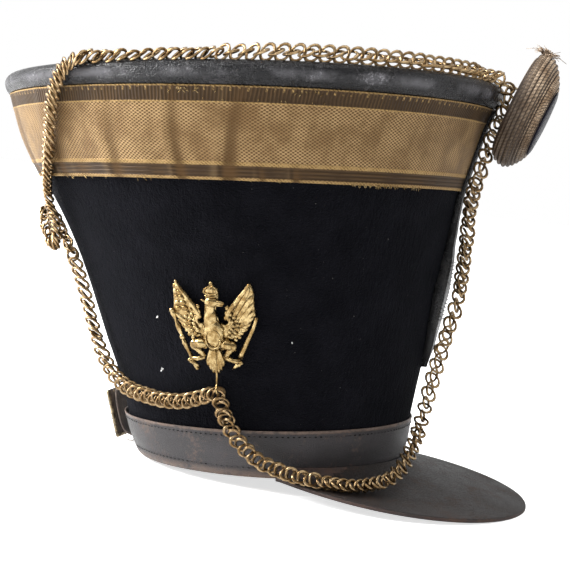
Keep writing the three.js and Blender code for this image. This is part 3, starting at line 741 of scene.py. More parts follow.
@dataclass(frozen=True)
class CordFinish:
    """Tarnished silver wire cord, twisted along the first UV direction, with painted shade towards its rear."""

    name: str = "tarnished_cord"
    dark: Colour = (0.028, 0.016, 0.009, 1)
    mid: Colour = (0.31, 0.2, 0.115, 1)
    bright: Colour = (0.8, 0.62, 0.44, 1)
    twist: float = 0.0024
    shaded_to: float = 0.153
    lit_from: float = 0.172
    ridge: float = 0.0033
    wire_width: float = 0.0005

    def make(self) -> bpy.types.Material:
        """Makes the material. The UV map's second value is metres across the turns of cord."""
        look = Look(self.name, Specular_IOR_Level=0.4)
        t = look.tree
        u, v = t.axis(look.uv, 0), t.axis(look.uv, 1)
        turns = t.maths("ABSOLUTE", t.wave(v, self.ridge * 2))
        ridge = t.ramp(turns, 0.1, 0.75)
        slant = t.plus(u, t.times(v, 0.7))
        strand = t.ramp(t.wave(slant, self.twist), -0.9, 0.4)
        wires = t.wave(slant, self.wire_width)
        patches = look.mottle(90, 0.3, 0.7)
        lit = t.times(ridge, t.plus(t.times(strand, 0.6), 0.4))
        # Painted shade: the cord darkens towards the rear of the badge, next to the hat.
        forward = t.ramp(t.axis(look.place, 0), self.shaded_to, self.lit_from)
        lit = t.times(lit, t.plus(t.times(forward, 0.86), 0.14))
        colour = t.mix(lit, self.dark, t.mix(patches, self.mid, self.bright))
        look.feed("Base Color", colour)
        look.feed("Metallic", t.times(lit, 0.45))
        look.feed("Roughness", t.minus(0.66, t.times(patches, 0.16)))
        look.bump(t.plus(lit, t.times(wires, 0.08)), 0.0009, 0.9)
        return look.material


@dataclass(frozen=True)
class VelvetFinish:
    """Short black velvet pile."""

    name: str = "black_velvet"

    def make(self) -> bpy.types.Material:
        """Makes the material."""
        look = Look(self.name, Roughness=1.0, Sheen_Weight=0.5, Sheen_Roughness=0.3, Specular_IOR_Level=0.1)
        t = look.tree
        pile = t.noise(look.place, 1800, 3)
        look.feed("Base Color", t.mix(pile, (0.004, 0.004, 0.008, 1), (0.016, 0.015, 0.024, 1)))
        look.bump(pile, 0.0004, 0.6)
        return look.material


class Finish(Enum):
    """The finishes that the hat's pieces take."""

    WOOL = WoolFinish()
    RIM = LeatherFinish(
        "rim_leather", (0.0022, 0.0022, 0.003, 1), (0.006, 0.006, 0.0075, 1), (0.07, 0.066, 0.07, 1),
        (0.16, 0.3), 700, 0.0005, 0.35, brushed=1.7, shine=0.3,
    )
    TOP = LeatherFinish(
        "top_leather", (0.0105, 0.0098, 0.0098, 1), (0.018, 0.0165, 0.016, 1), (0.05, 0.044, 0.04, 1),
        (0.42, 0.52), 900, 0.0003, 0.35,
    )
    BAND = LeatherFinish(
        "band_leather", (0.017, 0.0145, 0.016, 1), (0.036, 0.031, 0.034, 1), (0.15, 0.1, 0.075, 1),
        (0.34, 0.5), 1000, 0.0005, 0.45, wear_low=0.001, wear_high=0.007, pale_from=0.0283,
    )
    PEAK = LeatherFinish(
        "peak_leather", (0.009, 0.006, 0.0052, 1), (0.021, 0.0145, 0.0125, 1), (0.075, 0.042, 0.029, 1),
        (0.5, 0.62), 700, 0.0012, 0.5, shine=0.35,
    )
    PEAK_EDGE = LeatherFinish(
        "peak_raw_edge", (0.02, 0.01, 0.008, 1), (0.045, 0.022, 0.016, 1), (0.09, 0.05, 0.035, 1),
        (0.6, 0.7), 900, 0.0003, 0.6,
    )
    LOOP = LeatherFinish(
        "loop_leather", (0.004, 0.004, 0.0045, 1), (0.012, 0.012, 0.013, 1), (0.05, 0.047, 0.045, 1),
        (0.2, 0.32), 900, 0.0006, 0.4, shine=0.35,
    )
    TAB = LeatherFinish(
        "tab_leather", (0.045, 0.036, 0.033, 1), (0.115, 0.095, 0.086, 1), (0.26, 0.2, 0.16, 1),
        (0.6, 0.75), 1000, 0.00025, 0.7,
    )
    LACE = LaceFinish()
    CORD = CordFinish()
    VELVET = VelvetFinish()
    GILT = MetalFinish(
        "gilt_brass", (0.22, 0.14, 0.052, 1), (0.48, 0.36, 0.175, 1), (0.06, 0.034, 0.012, 1), 0.24, 1.0, 230, 0.4,
    )
    CHAIN = MetalFinish(
        "aged_brass", (0.2, 0.122, 0.052, 1), (0.42, 0.3, 0.165, 1), (0.04, 0.022, 0.01, 1), 0.28, 1.0, 240,
    )
    IRON = MetalFinish(
        "dull_iron", (0.1, 0.08, 0.055, 1), (0.55, 0.44, 0.28, 1), (0.02, 0.014, 0.01, 1), 0.42, 0.9, 260,
    )
    THREAD = MetalFinish(
        "wire_thread", (0.17, 0.115, 0.075, 1), (0.45, 0.34, 0.24, 1), (0.06, 0.038, 0.025, 1), 0.5, 0.5, 500,
    )

    @property
    def material(self) -> bpy.types.Material:
        """The finish's material, made once."""
        return made_material(self)


@lru_cache(maxsize=None)
def made_material(finish: Finish) -> bpy.types.Material:
    """Makes a finish's material the first time it is asked for."""
    return finish.value.make()


@dataclass
class Crown:
    """The wool body, the leather top and the rolled rim."""

    cloth_inset: float = 1.5
    cloth_thickness: float = 2.2
    cloth_bottom: float = 5.0
    cloth_top: float = 242.0
    rim_bottom: float = 237.0
    rim_top: float = 252.5
    rim_thickness: float = 2.2
    rear_sink: float = 3.0
    disc_sag: float = 3.0
    disc_top: float = 245.0
    disc_bottom: float = 242.6
    disc_inset: float = 4.0
    disc_ripple: float = 0.5

    def build(self) -> None:
        """Builds all three pieces."""
        self.body()
        self.disc()
        self.rim()

    def body(self) -> None:
        """Builds the wool wall with its slight unevenness."""
        span = self.cloth_top - self.cloth_bottom
        heights = [self.cloth_bottom + span * i / 30 for i in range(31)]
        outer = [(z, -self.cloth_inset) for z in heights]
        inner = [(z, -self.cloth_inset - self.cloth_thickness) for z in reversed(heights)]

        def place(turn: float, z: float, stand: float) -> Vector:
            """Bends the wall and lets it wander by a fraction of a millimetre."""
            spot = hat_point(turn, z, stand)
            wander = noise.noise(spot * 0.022) * 0.5 + noise.noise(spot * 0.06) * 0.2
            return hat_point(turn, z, stand + min(wander, 0.0))

        mesh = spun_wall(outer + inner, 144, place)
        MeshPiece("wool_body", mesh, Finish.WOOL.material).settle("cloth", "crown_body")

    def disc(self) -> None:
        """Builds the leather top, sagging in the middle."""
        shares = (0, 0.1, 0.2, 0.32, 0.45, 0.58, 0.7, 0.8, 0.88, 0.95, 1)
        section = [(share, self.disc_top) for share in shares]
        section += [(share, self.disc_bottom) for share in reversed(shares)]
        middle = (hat_point(0, self.rim_bottom, 0) + hat_point(180, self.rim_bottom, 0)) / 2
        mesh = spin_round(section, 96)
        for vert in mesh.verts:
            share = math.hypot(vert.co.x, vert.co.y)
            turn = math.degrees(math.atan2(vert.co.y, vert.co.x))
            spot = middle.lerp(hat_point(turn, self.rim_bottom, -self.disc_inset), share)
            ripple = noise.noise(Vector((spot.x, spot.y, 0)) * 0.02) * self.disc_ripple * (1 - share)
            spot.z = vert.co.z - self.disc_sag * (1 - share * share) + ripple
            vert.co = spot
        MeshPiece("leather_top", mesh, Finish.TOP.material).settle("black_leather", "crown_top")

    def rim(self) -> None:
        """Builds the polished rim rolled over the top edge."""
        low, top, thick = self.rim_bottom, self.rim_top, self.rim_thickness
        section = [
            (low, 0.5), (low + 0.3, 0.9), (low + 3, 2.0), (low + 6.5, 2.5), (low + 10, 1.9), (top - 2.8, 0.1),
            (top - 0.8, -2.4), (top + 0.1, -6.4), (top - 0.5, -10), (top - 2.2, -13.4), (top - 4, -15),
            (top - 4.8, -14.5), (top - 3.4, -12), (top - 2.2, -8), (top - thick - 0.4, -5.4),
            (top - 4.4, -2.9), (low + 8, -1), (low, -0.9),
        ]

        def place(turn: float, z: float, stand: float) -> Vector:
            """Bends the rim, lowers it towards the back and dents it slightly."""
            rearward = (1 - math.cos(math.radians(turn))) / 2
            spot = hat_point(turn, z, stand)
            dent = noise.noise(spot * 0.03) * 0.35
            spot = hat_point(turn, z, stand + dent)
            spot.z -= self.rear_sink * rearward * (z - low) / (top - low)
            return spot

        mesh = spun_wall(section, 120, place)
        MeshPiece("rolled_rim", mesh, Finish.RIM.material).rounded(1).settle("black_leather", "top_rim")


@dataclass(frozen=True)
class Pucker:
    """A fold in the lace: where it is at its foot and its head, how wide, and how deep in mm."""

    foot: float
    head: float
    width: float
    depth: float
    foot_only: bool = False

    def off(self, turn: float, share: float) -> float:
        """Gives how many widths a turn is from the fold's ridge at a share of the band's height."""
        return (turn - self.foot - (self.head - self.foot) * share) / self.width

    def strength(self, share: float, fade: float, least: float) -> float:
        """Gives what is left of the fold: it ends early or sinks to the least at the head."""
        return max(0.0, 1 - share * fade) if self.foot_only else least + (1 - least) * (1 - share)


@dataclass
class Lace:
    """The band of gold lace with its puckers and frayed threads."""

    bottom: float = 184.0
    top: float = 236.6
    thickness: float = 1.2
    steps: int = 62
    deepest: float = 0.85
    lift: float = 0.15
    ribs: tuple[tuple[float, float, float], ...] = (
        (193.3, 0.9, 0.35), (184.9, 0.7, 0.35), (227.7, 0.6, 0.3), (236, 0.6, 0.3),
    )
    puckers: tuple[Pucker, ...] = tuple(Pucker(*row) for row in (
        (-130, -128, 2.0, 0.8), (-122, -121, 2.6, 0.5), (-110, -107.5, 2.2, 0.8), (-99, -98, 3.0, 0.3),
        (-92.4, -92.2, 1.7, 1.0), (-82, -78.5, 2.3, 1.2), (-72.8, -72.5, 1.1, 0.9, True),
        (-65, -64.8, 1.1, 0.9, True), (-66, -60, 3.4, 0.3), (-150, -148, 2.2, 1.0), (120, 118, 1.8, 1.0),
        (84, 86, 1.6, 0.9), (60, 61, 2.0, 0.8), (150, 149, 1.8, 0.9),
    ))

    def share(self, z: float) -> float:
        """Gives how far up the band a height is, from 0 to 1."""
        return (z - self.bottom) / (self.top - self.bottom)

    def relief(self, turn: float, z: float) -> float:
        """Gives how far the lace stands proud or falls back at a place, in mm."""
        share = self.share(z)
        proud = 0.0
        for fold in self.puckers:
            off = fold.off(turn, share)
            ridge = math.exp(-off * off) - 0.75 * math.exp(-((off - 1.4) ** 2))
            proud += fold.depth * fold.strength(share, 4.5, 0.45) * ridge
        ribs = sum(height * math.exp(-(((z - middle) / width) ** 2)) for middle, width, height in self.ribs)
        return max(proud, -self.deepest) + ribs + self.lift

    def shade(self, turn: float, z: float) -> float:
        """Gives the painted shade for a fold's hollow, above 0, and the painted highlight for its ridge, below 0."""
        share = self.share(z)
        total = 0.0
        for fold in self.puckers:
            off = fold.off(turn, share)
            hollow = math.exp(-((off - 1.1) ** 2) / 0.9) - 0.8 * math.exp(-((off + 0.2) ** 2) / 0.4)
            total += fold.depth * fold.strength(share, 3.5, 0.4) * hollow
        return total

    def build(self) -> None:
        """Builds the band and its loose threads."""
        heights = [self.bottom + (self.top - self.bottom) * i / self.steps for i in range(self.steps + 1)]
        section = [(z, 0.0) for z in heights] + [(z, -self.thickness) for z in (self.top, 225, 210, 197, self.bottom)]

        def place(turn: float, z: float, stand: float) -> Vector:
            """Bends the band and lifts its outside by the relief."""
            lift = self.relief(turn, z) if stand > -0.5 else 0.0
            if abs(turn) < 6.5:
                lift = min(lift, 0.35)
            return hat_point(turn, z, stand + lift)

        mesh = spun_wall(section, 540, place, self.shade)
        MeshPiece("gold_lace_band", mesh, Finish.LACE.material).settle("gold_lace", "lace_band")
        self.fray()

    def fray(self) -> None:
        """Builds the broken gold threads along both edges."""
        dice = random.Random(7)
        mesh = bmesh.new()
        spans = [(-92, -80, self.top - 3, 14), (-66, -58, self.top - 3, 8), (-50, -28, self.bottom + 0.6, 46),
                 (-130, -60, self.bottom + 0.6, 18), (-84, -58, self.top - 8.6, 12)]
        for start, end, z, count in spans:
            for _ in range(count):
                turn = dice.uniform(start, end)
                drift = dice.uniform(-0.9, 0.9)
                drop = dice.uniform(1.0, 2.6) * (-1 if z < 200 else dice.choice((-1, 1)))
                points = [
                    hat_point(turn, z, 0.7),
                    hat_point(turn + drift * 0.5, z + drop * 0.5, 1.3),
                    hat_point(turn + drift, z + drop, 0.8 + dice.uniform(0, 0.6)),
                ]
                add_wire(mesh, points, (0.16, 0.2, 0.1), 4)
        MeshPiece("frayed_gold_threads", mesh, Finish.GILT.material).settle("gold_lace")


@dataclass
class HeadBand:
    """The leather headband, its rolled edge and its stitching."""

    top: float = 30.7
    front_rise: float = 2.6
    stitch_rows: tuple[tuple[float, float, float], ...] = ((27.0, -170, 170), (6.6, -150, -60), (6.6, 60, 150))
    stitch_length: float = 2.0
    tipped_from: float = 8.0

    def tip(self, turn: float, z: float) -> float:
        """Gives how far the band rises at the front, or sinks at the back, at a height."""
        share = max(z - self.tipped_from, 0) / (self.top - self.tipped_from)
        return self.front_rise * math.cos(math.radians(turn)) * share

    def build(self) -> None:
        """Builds the band and the stitches."""
        top = self.top
        section = [
            (top, -0.9), (top + 0.1, 0.1), (top - 0.5, 0.55), (top - 1.6, 0.5), (top - 2.3, 0.22), (27.4, 0.3),
            (26.6, 0.05), (25.8, 0.3), (20, 0.35), (14, 0.35), (8, 0.3), (6.4, 0.0), (5.4, 0.35), (3.2, 0.35),
            (1.2, -0.1), (0.15, -1.2), (0, -2.8), (0.6, -4.6), (3, -5.7), (8, -5.6), (16, -5.5), (16.1, -4.2),
            (8, -4.1), (4.8, -4.0), (3.6, -2), (4.6, -1.25), (15, -1.2),
        ]

        def place(turn: float, z: float, stand: float) -> Vector:
            """Bends the band and gives it a slight unevenness."""
            spot = hat_point(turn, z, stand)
            spot = hat_point(turn, z, stand + noise.noise(spot * 0.05) * 0.18)
            spot.z += self.tip(turn, z)
            return spot

        mesh = spun_wall(section, 144, place)
        MeshPiece("leather_headband", mesh, Finish.BAND.material).rounded(1).settle("brown_leather", "head_band")
        self.stitches()

    def stitches(self) -> None:
        """Builds the rows of thread as joined small beads."""
        mesh = bmesh.new()
        for z, start, end in self.stitch_rows:
            radius = girth_at(z).side
            step = math.degrees(self.stitch_length * 1.5 / radius)
            turn = start
            while turn < end:
                centre = hat_point(turn, z, 0.25)
                centre.z += self.tip(turn, z)
                along = hat_point(turn + 1, z, 0) - hat_point(turn, z, 0)
                matrix = stretched(centre, along, UP, (self.stitch_length / 2, 0.42, 0.4))
                add_ball(mesh, matrix, 6, 4)
                turn += step
        MeshPiece("band_stitches", mesh, Finish.LOOP.material).settle("brown_leather")


@dataclass
class Peak:
    """The stiff leather peak that the hat stands on."""

    reach: float = 80.0
    spread: float = 73.0
    thickness: float = 2.6
    inner_height: float = 7.5
    crease_share: float = 0.2
    crease_height: float = 0.5
    outline_power: float = 1.82
    corner_power: float = 1.24
    end_reach: float = 1.6
    start: float = 1.0

    def ground(self, x: float) -> float:
        """Gives the height of what the tipped hat stands on, at a distance forward."""
        return -(x + OUTLINE[0].back) * math.tan(math.radians(REST_TILT))

    def place(self, u: float, v: float, w: float) -> Vector:
        """Finds a place in the peak.

        Args:
            u: 0 to 1 round its edge.
            v: 0 at the band to 1 at the edge.
            w: 0 underneath to 1 on top.

        Returns:
            The place in mm.
        """
        turn = (u * 2 - 1) * self.spread
        share = abs(turn) / self.spread
        fall = max(1 - share**self.outline_power, 0.0)
        reach = self.end_reach + self.reach * fall**self.corner_power
        inner = hat_point(turn, self.inner_height, self.start)
        outer = hat_point(turn, 0, self.start + reach + 2)
        spot = inner.lerp(outer, v)
        edge = self.ground(outer.x) * (1 - share**2.35) + self.thickness / 2
        crease = self.crease_height + (edge - self.crease_height) * v
        settle = min(v / self.crease_share, 1.0)
        height = self.inner_height + (crease - self.inner_height) * (1 - (1 - settle) ** 2)
        spot.z = height + (w - 0.5) * self.thickness
        if w < 0.5:
            spot.z = max(spot.z, self.ground(spot.x) + 0.02)
        return spot

    def build(self) -> None:
        """Builds the peak with its raw edge in a second material."""
        mesh = bent_slab(90, 34, self.place)
        side_edges = [e for e in mesh.edges if len(e.link_faces) == 2 and e.calc_face_angle(0) > 0.9]
        bmesh.ops.bevel(
            mesh, geom=side_edges, offset=0.75, offset_type="OFFSET", segments=3, profile=0.5,
            affect="EDGES", material=-1,
        )
        for face in mesh.faces:
            if abs(face.normal.z) < 0.55:
                face.material_index = 1
        MeshPiece("leather_peak", mesh, Finish.PEAK.material, Finish.PEAK_EDGE.material).settle("brown_leather", "peak")


@dataclass(frozen=True)
class LoopRow:
    """One height of the front loop, in mm."""

    z: float
    half_width: float
    back: float
    proud: float


@dataclass
class FrontLoop:
    """The black leather loop down the middle of the front."""

    rows: tuple[LoopRow, ...] = tuple(LoopRow(*row) for row in (
        (68, 1.2, -1.1, 2.6), (85, 6, -1.1, 4.2), (104, 11, -1.1, 5.3), (118, 12, -1.1, 6.0), (135, 8, -1.1, 5.4),
        (152, 5.5, -1.1, 3.6), (168, 5, -1.1, 2.6), (181, 5, -1.1, 2.4), (183.5, 5, 0.5, 2.4),
        (210, 5, 0.5, 2.4), (235.8, 5, 0.5, 2.4),
    ))
    stitch_count: int = 16
    stitch_start: float = 100.0
    stitch_step: float = 2.5
    stitch_stand: float = 5.6
    widest: float = 118.0

    def row_at(self, share: float) -> LoopRow:
        """Blends the table at a share of the loop's length."""
        spot = share * (len(self.rows) - 1)
        i = min(int(spot), len(self.rows) - 2)
        t = spot - i
        a, b = self.rows[i], self.rows[i + 1]
        ease = t * t * (3 - 2 * t)
        pairs = ((getattr(a, name), getattr(b, name)) for name in ("half_width", "back", "proud"))
        return LoopRow(a.z + (b.z - a.z) * t, *(low + (high - low) * ease for low, high in pairs))

    def build(self) -> None:
        """Builds the loop and the stitches on its wide part."""

        def place(u: float, v: float, w: float) -> Vector:
            """Lays the loop on the front with a raised cord down each edge."""
            row = self.row_at(v)
            side = u * 2 - 1
            radius = girth_at(row.z).side
            turn = math.degrees(math.asin(side * row.half_width / radius))
            cord = 0.55 * math.exp(-(((abs(side) - 0.72) / 0.16) ** 2)) - 0.5 * (1 - abs(side)) ** 0.5
            rounded = row.proud + cord - (row.proud - row.back) * 0.3 * abs(side) ** 4
            return hat_point(turn, row.z, row.back if w < 0.5 else rounded)

        mesh = bent_slab(14, 90, place)
        MeshPiece("leather_front_loop", mesh, Finish.LOOP.material).settle("black_leather", "front_loop")
        mesh = bmesh.new()
        for i in range(self.stitch_count):
            z = self.stitch_start + i * self.stitch_step
            for side in (-1, 1):
                width = 8.6 - abs(z - self.widest) * 0.12
                turn = math.degrees(math.asin(side * width / girth_at(z).side))
                spot = hat_point(turn, z, self.stitch_stand)
                across = hat_point(turn + 1, z, 0) - hat_point(turn, z, 0)
                add_ball(mesh, stretched(spot, across, hat_outward(turn, z), (1.7, 0.42, 0.5)), 6, 4)
        MeshPiece("loop_stitches", mesh, Finish.LOOP.material).settle("black_leather")


def measured(profile: Section) -> list[tuple[float, float, float]]:
    """Adds to each corner of a profile how far along it lies."""
    runs = [0.0]
    for (x0, y0), (x1, y1) in zip(profile, profile[1:]):
        runs.append(runs[-1] + math.hypot(x1 - x0, y1 - y0))
    return [(x, y, run) for (x, y), run in zip(profile, runs)]


@dataclass
class FieldBadge:
    """The egg of wound cord on the front of the rim, its velvet face, its tuft and its wire."""

    centre: Vector = Vector((164, 0, 237))
    lean: float = math.radians(24)
    half_length: float = 37.5
    half_width: float = 25.0
    face_radius: float = 22.5
    back: float = 10.7
    droop: float = 0.2
    ridge: float = 3.3
    ridge_height: float = 1.3
    uv_radius: float = 31.0

    def axes(self) -> tuple[Vector, Vector, Vector]:
        """Gives the badge's own across, out and along directions."""
        out = Vector((math.cos(self.lean), 0, -math.sin(self.lean)))
        along = Vector((math.sin(self.lean), 0, math.cos(self.lean)))
        return Vector((0, 1, 0)), out, along

    def spun(self, profile: Section, steps: int) -> BMesh:
        """Spins a profile about the way the face looks and leans it over the rim.

        Args:
            profile: Radius and height on that axis, in mm, starting and ending on the axis.
            steps: How many steps the turn takes.

        Returns:
            The closed egg. Its UV map holds metres round and metres along the profile.
        """
        mesh = spin_round(profile, steps)
        runs = {(round(radius, 2), round(y, 2)): run for radius, y, run in measured(profile)}
        for vert in mesh.verts:
            radius, height = min(runs, key=lambda spot: abs(spot[0] - vert.co.xy.length) + abs(spot[1] - vert.co.z))
            runs.setdefault((round(vert.co.xy.length, 2), round(vert.co.z, 2)), runs[radius, height])
        layer = mesh.loops.layers.uv.new("UVMap")
        for loop, turn in turned_loops(mesh):
            co = loop.vert.co
            loop[layer].uv = (turn * self.uv_radius * MM, runs[round(co.xy.length, 2), round(co.z, 2)] * MM)
        across, out, along = self.axes()
        for vert in mesh.verts:
            x, y, z = vert.co
            rise = y - self.droop * (z + self.back)
            vert.co = self.centre + across * (x * self.half_width / self.half_length) + out * z + along * rise
        bmesh.ops.recalc_face_normals(mesh, faces=mesh.faces)
        return mesh

    def ridged(self) -> list[tuple[float, float]]:
        """Draws the wound body's profile with a ridge for each turn of cord."""
        rough = [
            (0, -10.6), (14, -10.7), (26, -10.6), (32.4, -9.4), (35.6, -7.2), (36.9, -3.6), (36.9, 0),
            (35.2, 3.0), (32.2, 5.8), (28.6, 8.2), (25.2, 10), (22.6, 10.8), (18, 10.9), (0, 10.9),
        ]
        points = smooth_route([Vector((r, y, 0)) for r, y in rough], 12)
        profile = []
        reached = 0.0
        for before, here, after in zip(points, points[1:], points[2:]):
            reached += (here - before).length
            tangent = (after - before).normalized()
            normal = Vector((tangent.y, -tangent.x, 0))
            if here.y < -9.9 and here.x < 30 or here.y > 10.75:
                lift = 0.0
            else:
                lift = self.ridge_height * (abs(math.sin(math.pi * reached / self.ridge)) - 0.55)
            spot = here + normal * lift
            profile.append((max(spot.x, 0), spot.y))
        return [(0, -10.6), *profile, (0, 10.9)]

    def build(self) -> None:
        """Builds the egg, the face, the tuft and the wire."""
        mesh = self.spun(self.ridged(), 96)
        MeshPiece("wound_cord_badge", mesh, Finish.CORD.material).settle("silver_cord", "pompom")
        face = [(0, 11.2), (self.face_radius - 0.5, 11.2), (21.6, 11.8), (19.5, 12.4), (12, 13), (0, 13.2)]
        MeshPiece("velvet_face", self.spun(face, 64), Finish.VELVET.material).settle("velvet", "pompom_face")
        self.tuft()
        self.wire()

    def tuft(self) -> None:
        """Builds the frayed wires that spray out of the top."""
        dice = random.Random(11)
        across, out, along = self.axes()
        root = self.centre + along * (self.half_length - 2.6) - out * 5.5
        mesh = bmesh.new()
        for _ in range(80):
            swing = dice.choice((-1, 1)) * dice.uniform(0.1, 1)
            side = dice.uniform(-1, 1)
            reach = dice.uniform(4, 9) + 8 * abs(swing) ** 3 * dice.random()
            way = (along * dice.uniform(0.3, 0.8) + out * swing + across * side * 0.6).normalized()
            start = root + out * dice.uniform(-3, 3) + across * dice.uniform(-3.5, 3.5)
            droop = along * -reach * dice.uniform(0.15, 0.5)
            points = [start, start + way * reach * 0.5, start + way * reach + droop]
            add_wire(mesh, points, (0.26, 0.22, 0.15), 4)
        for _ in range(26):
            start = root + out * dice.uniform(-4, 4) + across * dice.uniform(-4.5, 4.5) - along * 2
            end = root + along * dice.uniform(1.5, 4) + out * dice.uniform(-2.2, 2.2) + across * dice.uniform(-2.5, 2.5)
            add_wire(mesh, [start, (start + end) / 2 + along * 0.6, end], (0.8, 0.75, 0.5), 5)
        MeshPiece("frayed_tuft", mesh, Finish.THREAD.material).settle("silver_cord")

    def wire(self) -> None:
        """Builds the wire that hooks over the rim and carries the badge."""
        inside = hat_point(8, 250, -9.5)
        points = [
            Vector((inside.x, inside.y, 253.4)),
            Vector((hat_point(8, 252, -3).x, inside.y, 254.6)),
            Vector((hat_point(7, 252, 3).x, inside.y * 0.8, 253.6)),
            Vector((hat_point(0, 252, 9).x, inside.y * 0.7, 250.4)),
        ]
        route = smooth_route(points, 6)
        mesh = bmesh.new()
        add_wire(mesh, route, [0.8] * len(route), 8)
        MeshPiece("badge_wire", mesh, Finish.IRON.material).settle("iron", "pompom_stem")


@dataclass(frozen=True)
class Feather:
    """A feather as a long drop from its root to its tip, in the badge's own mm."""

    root: tuple[float, float]
    tip: tuple[float, float]
    width: float
    height: float


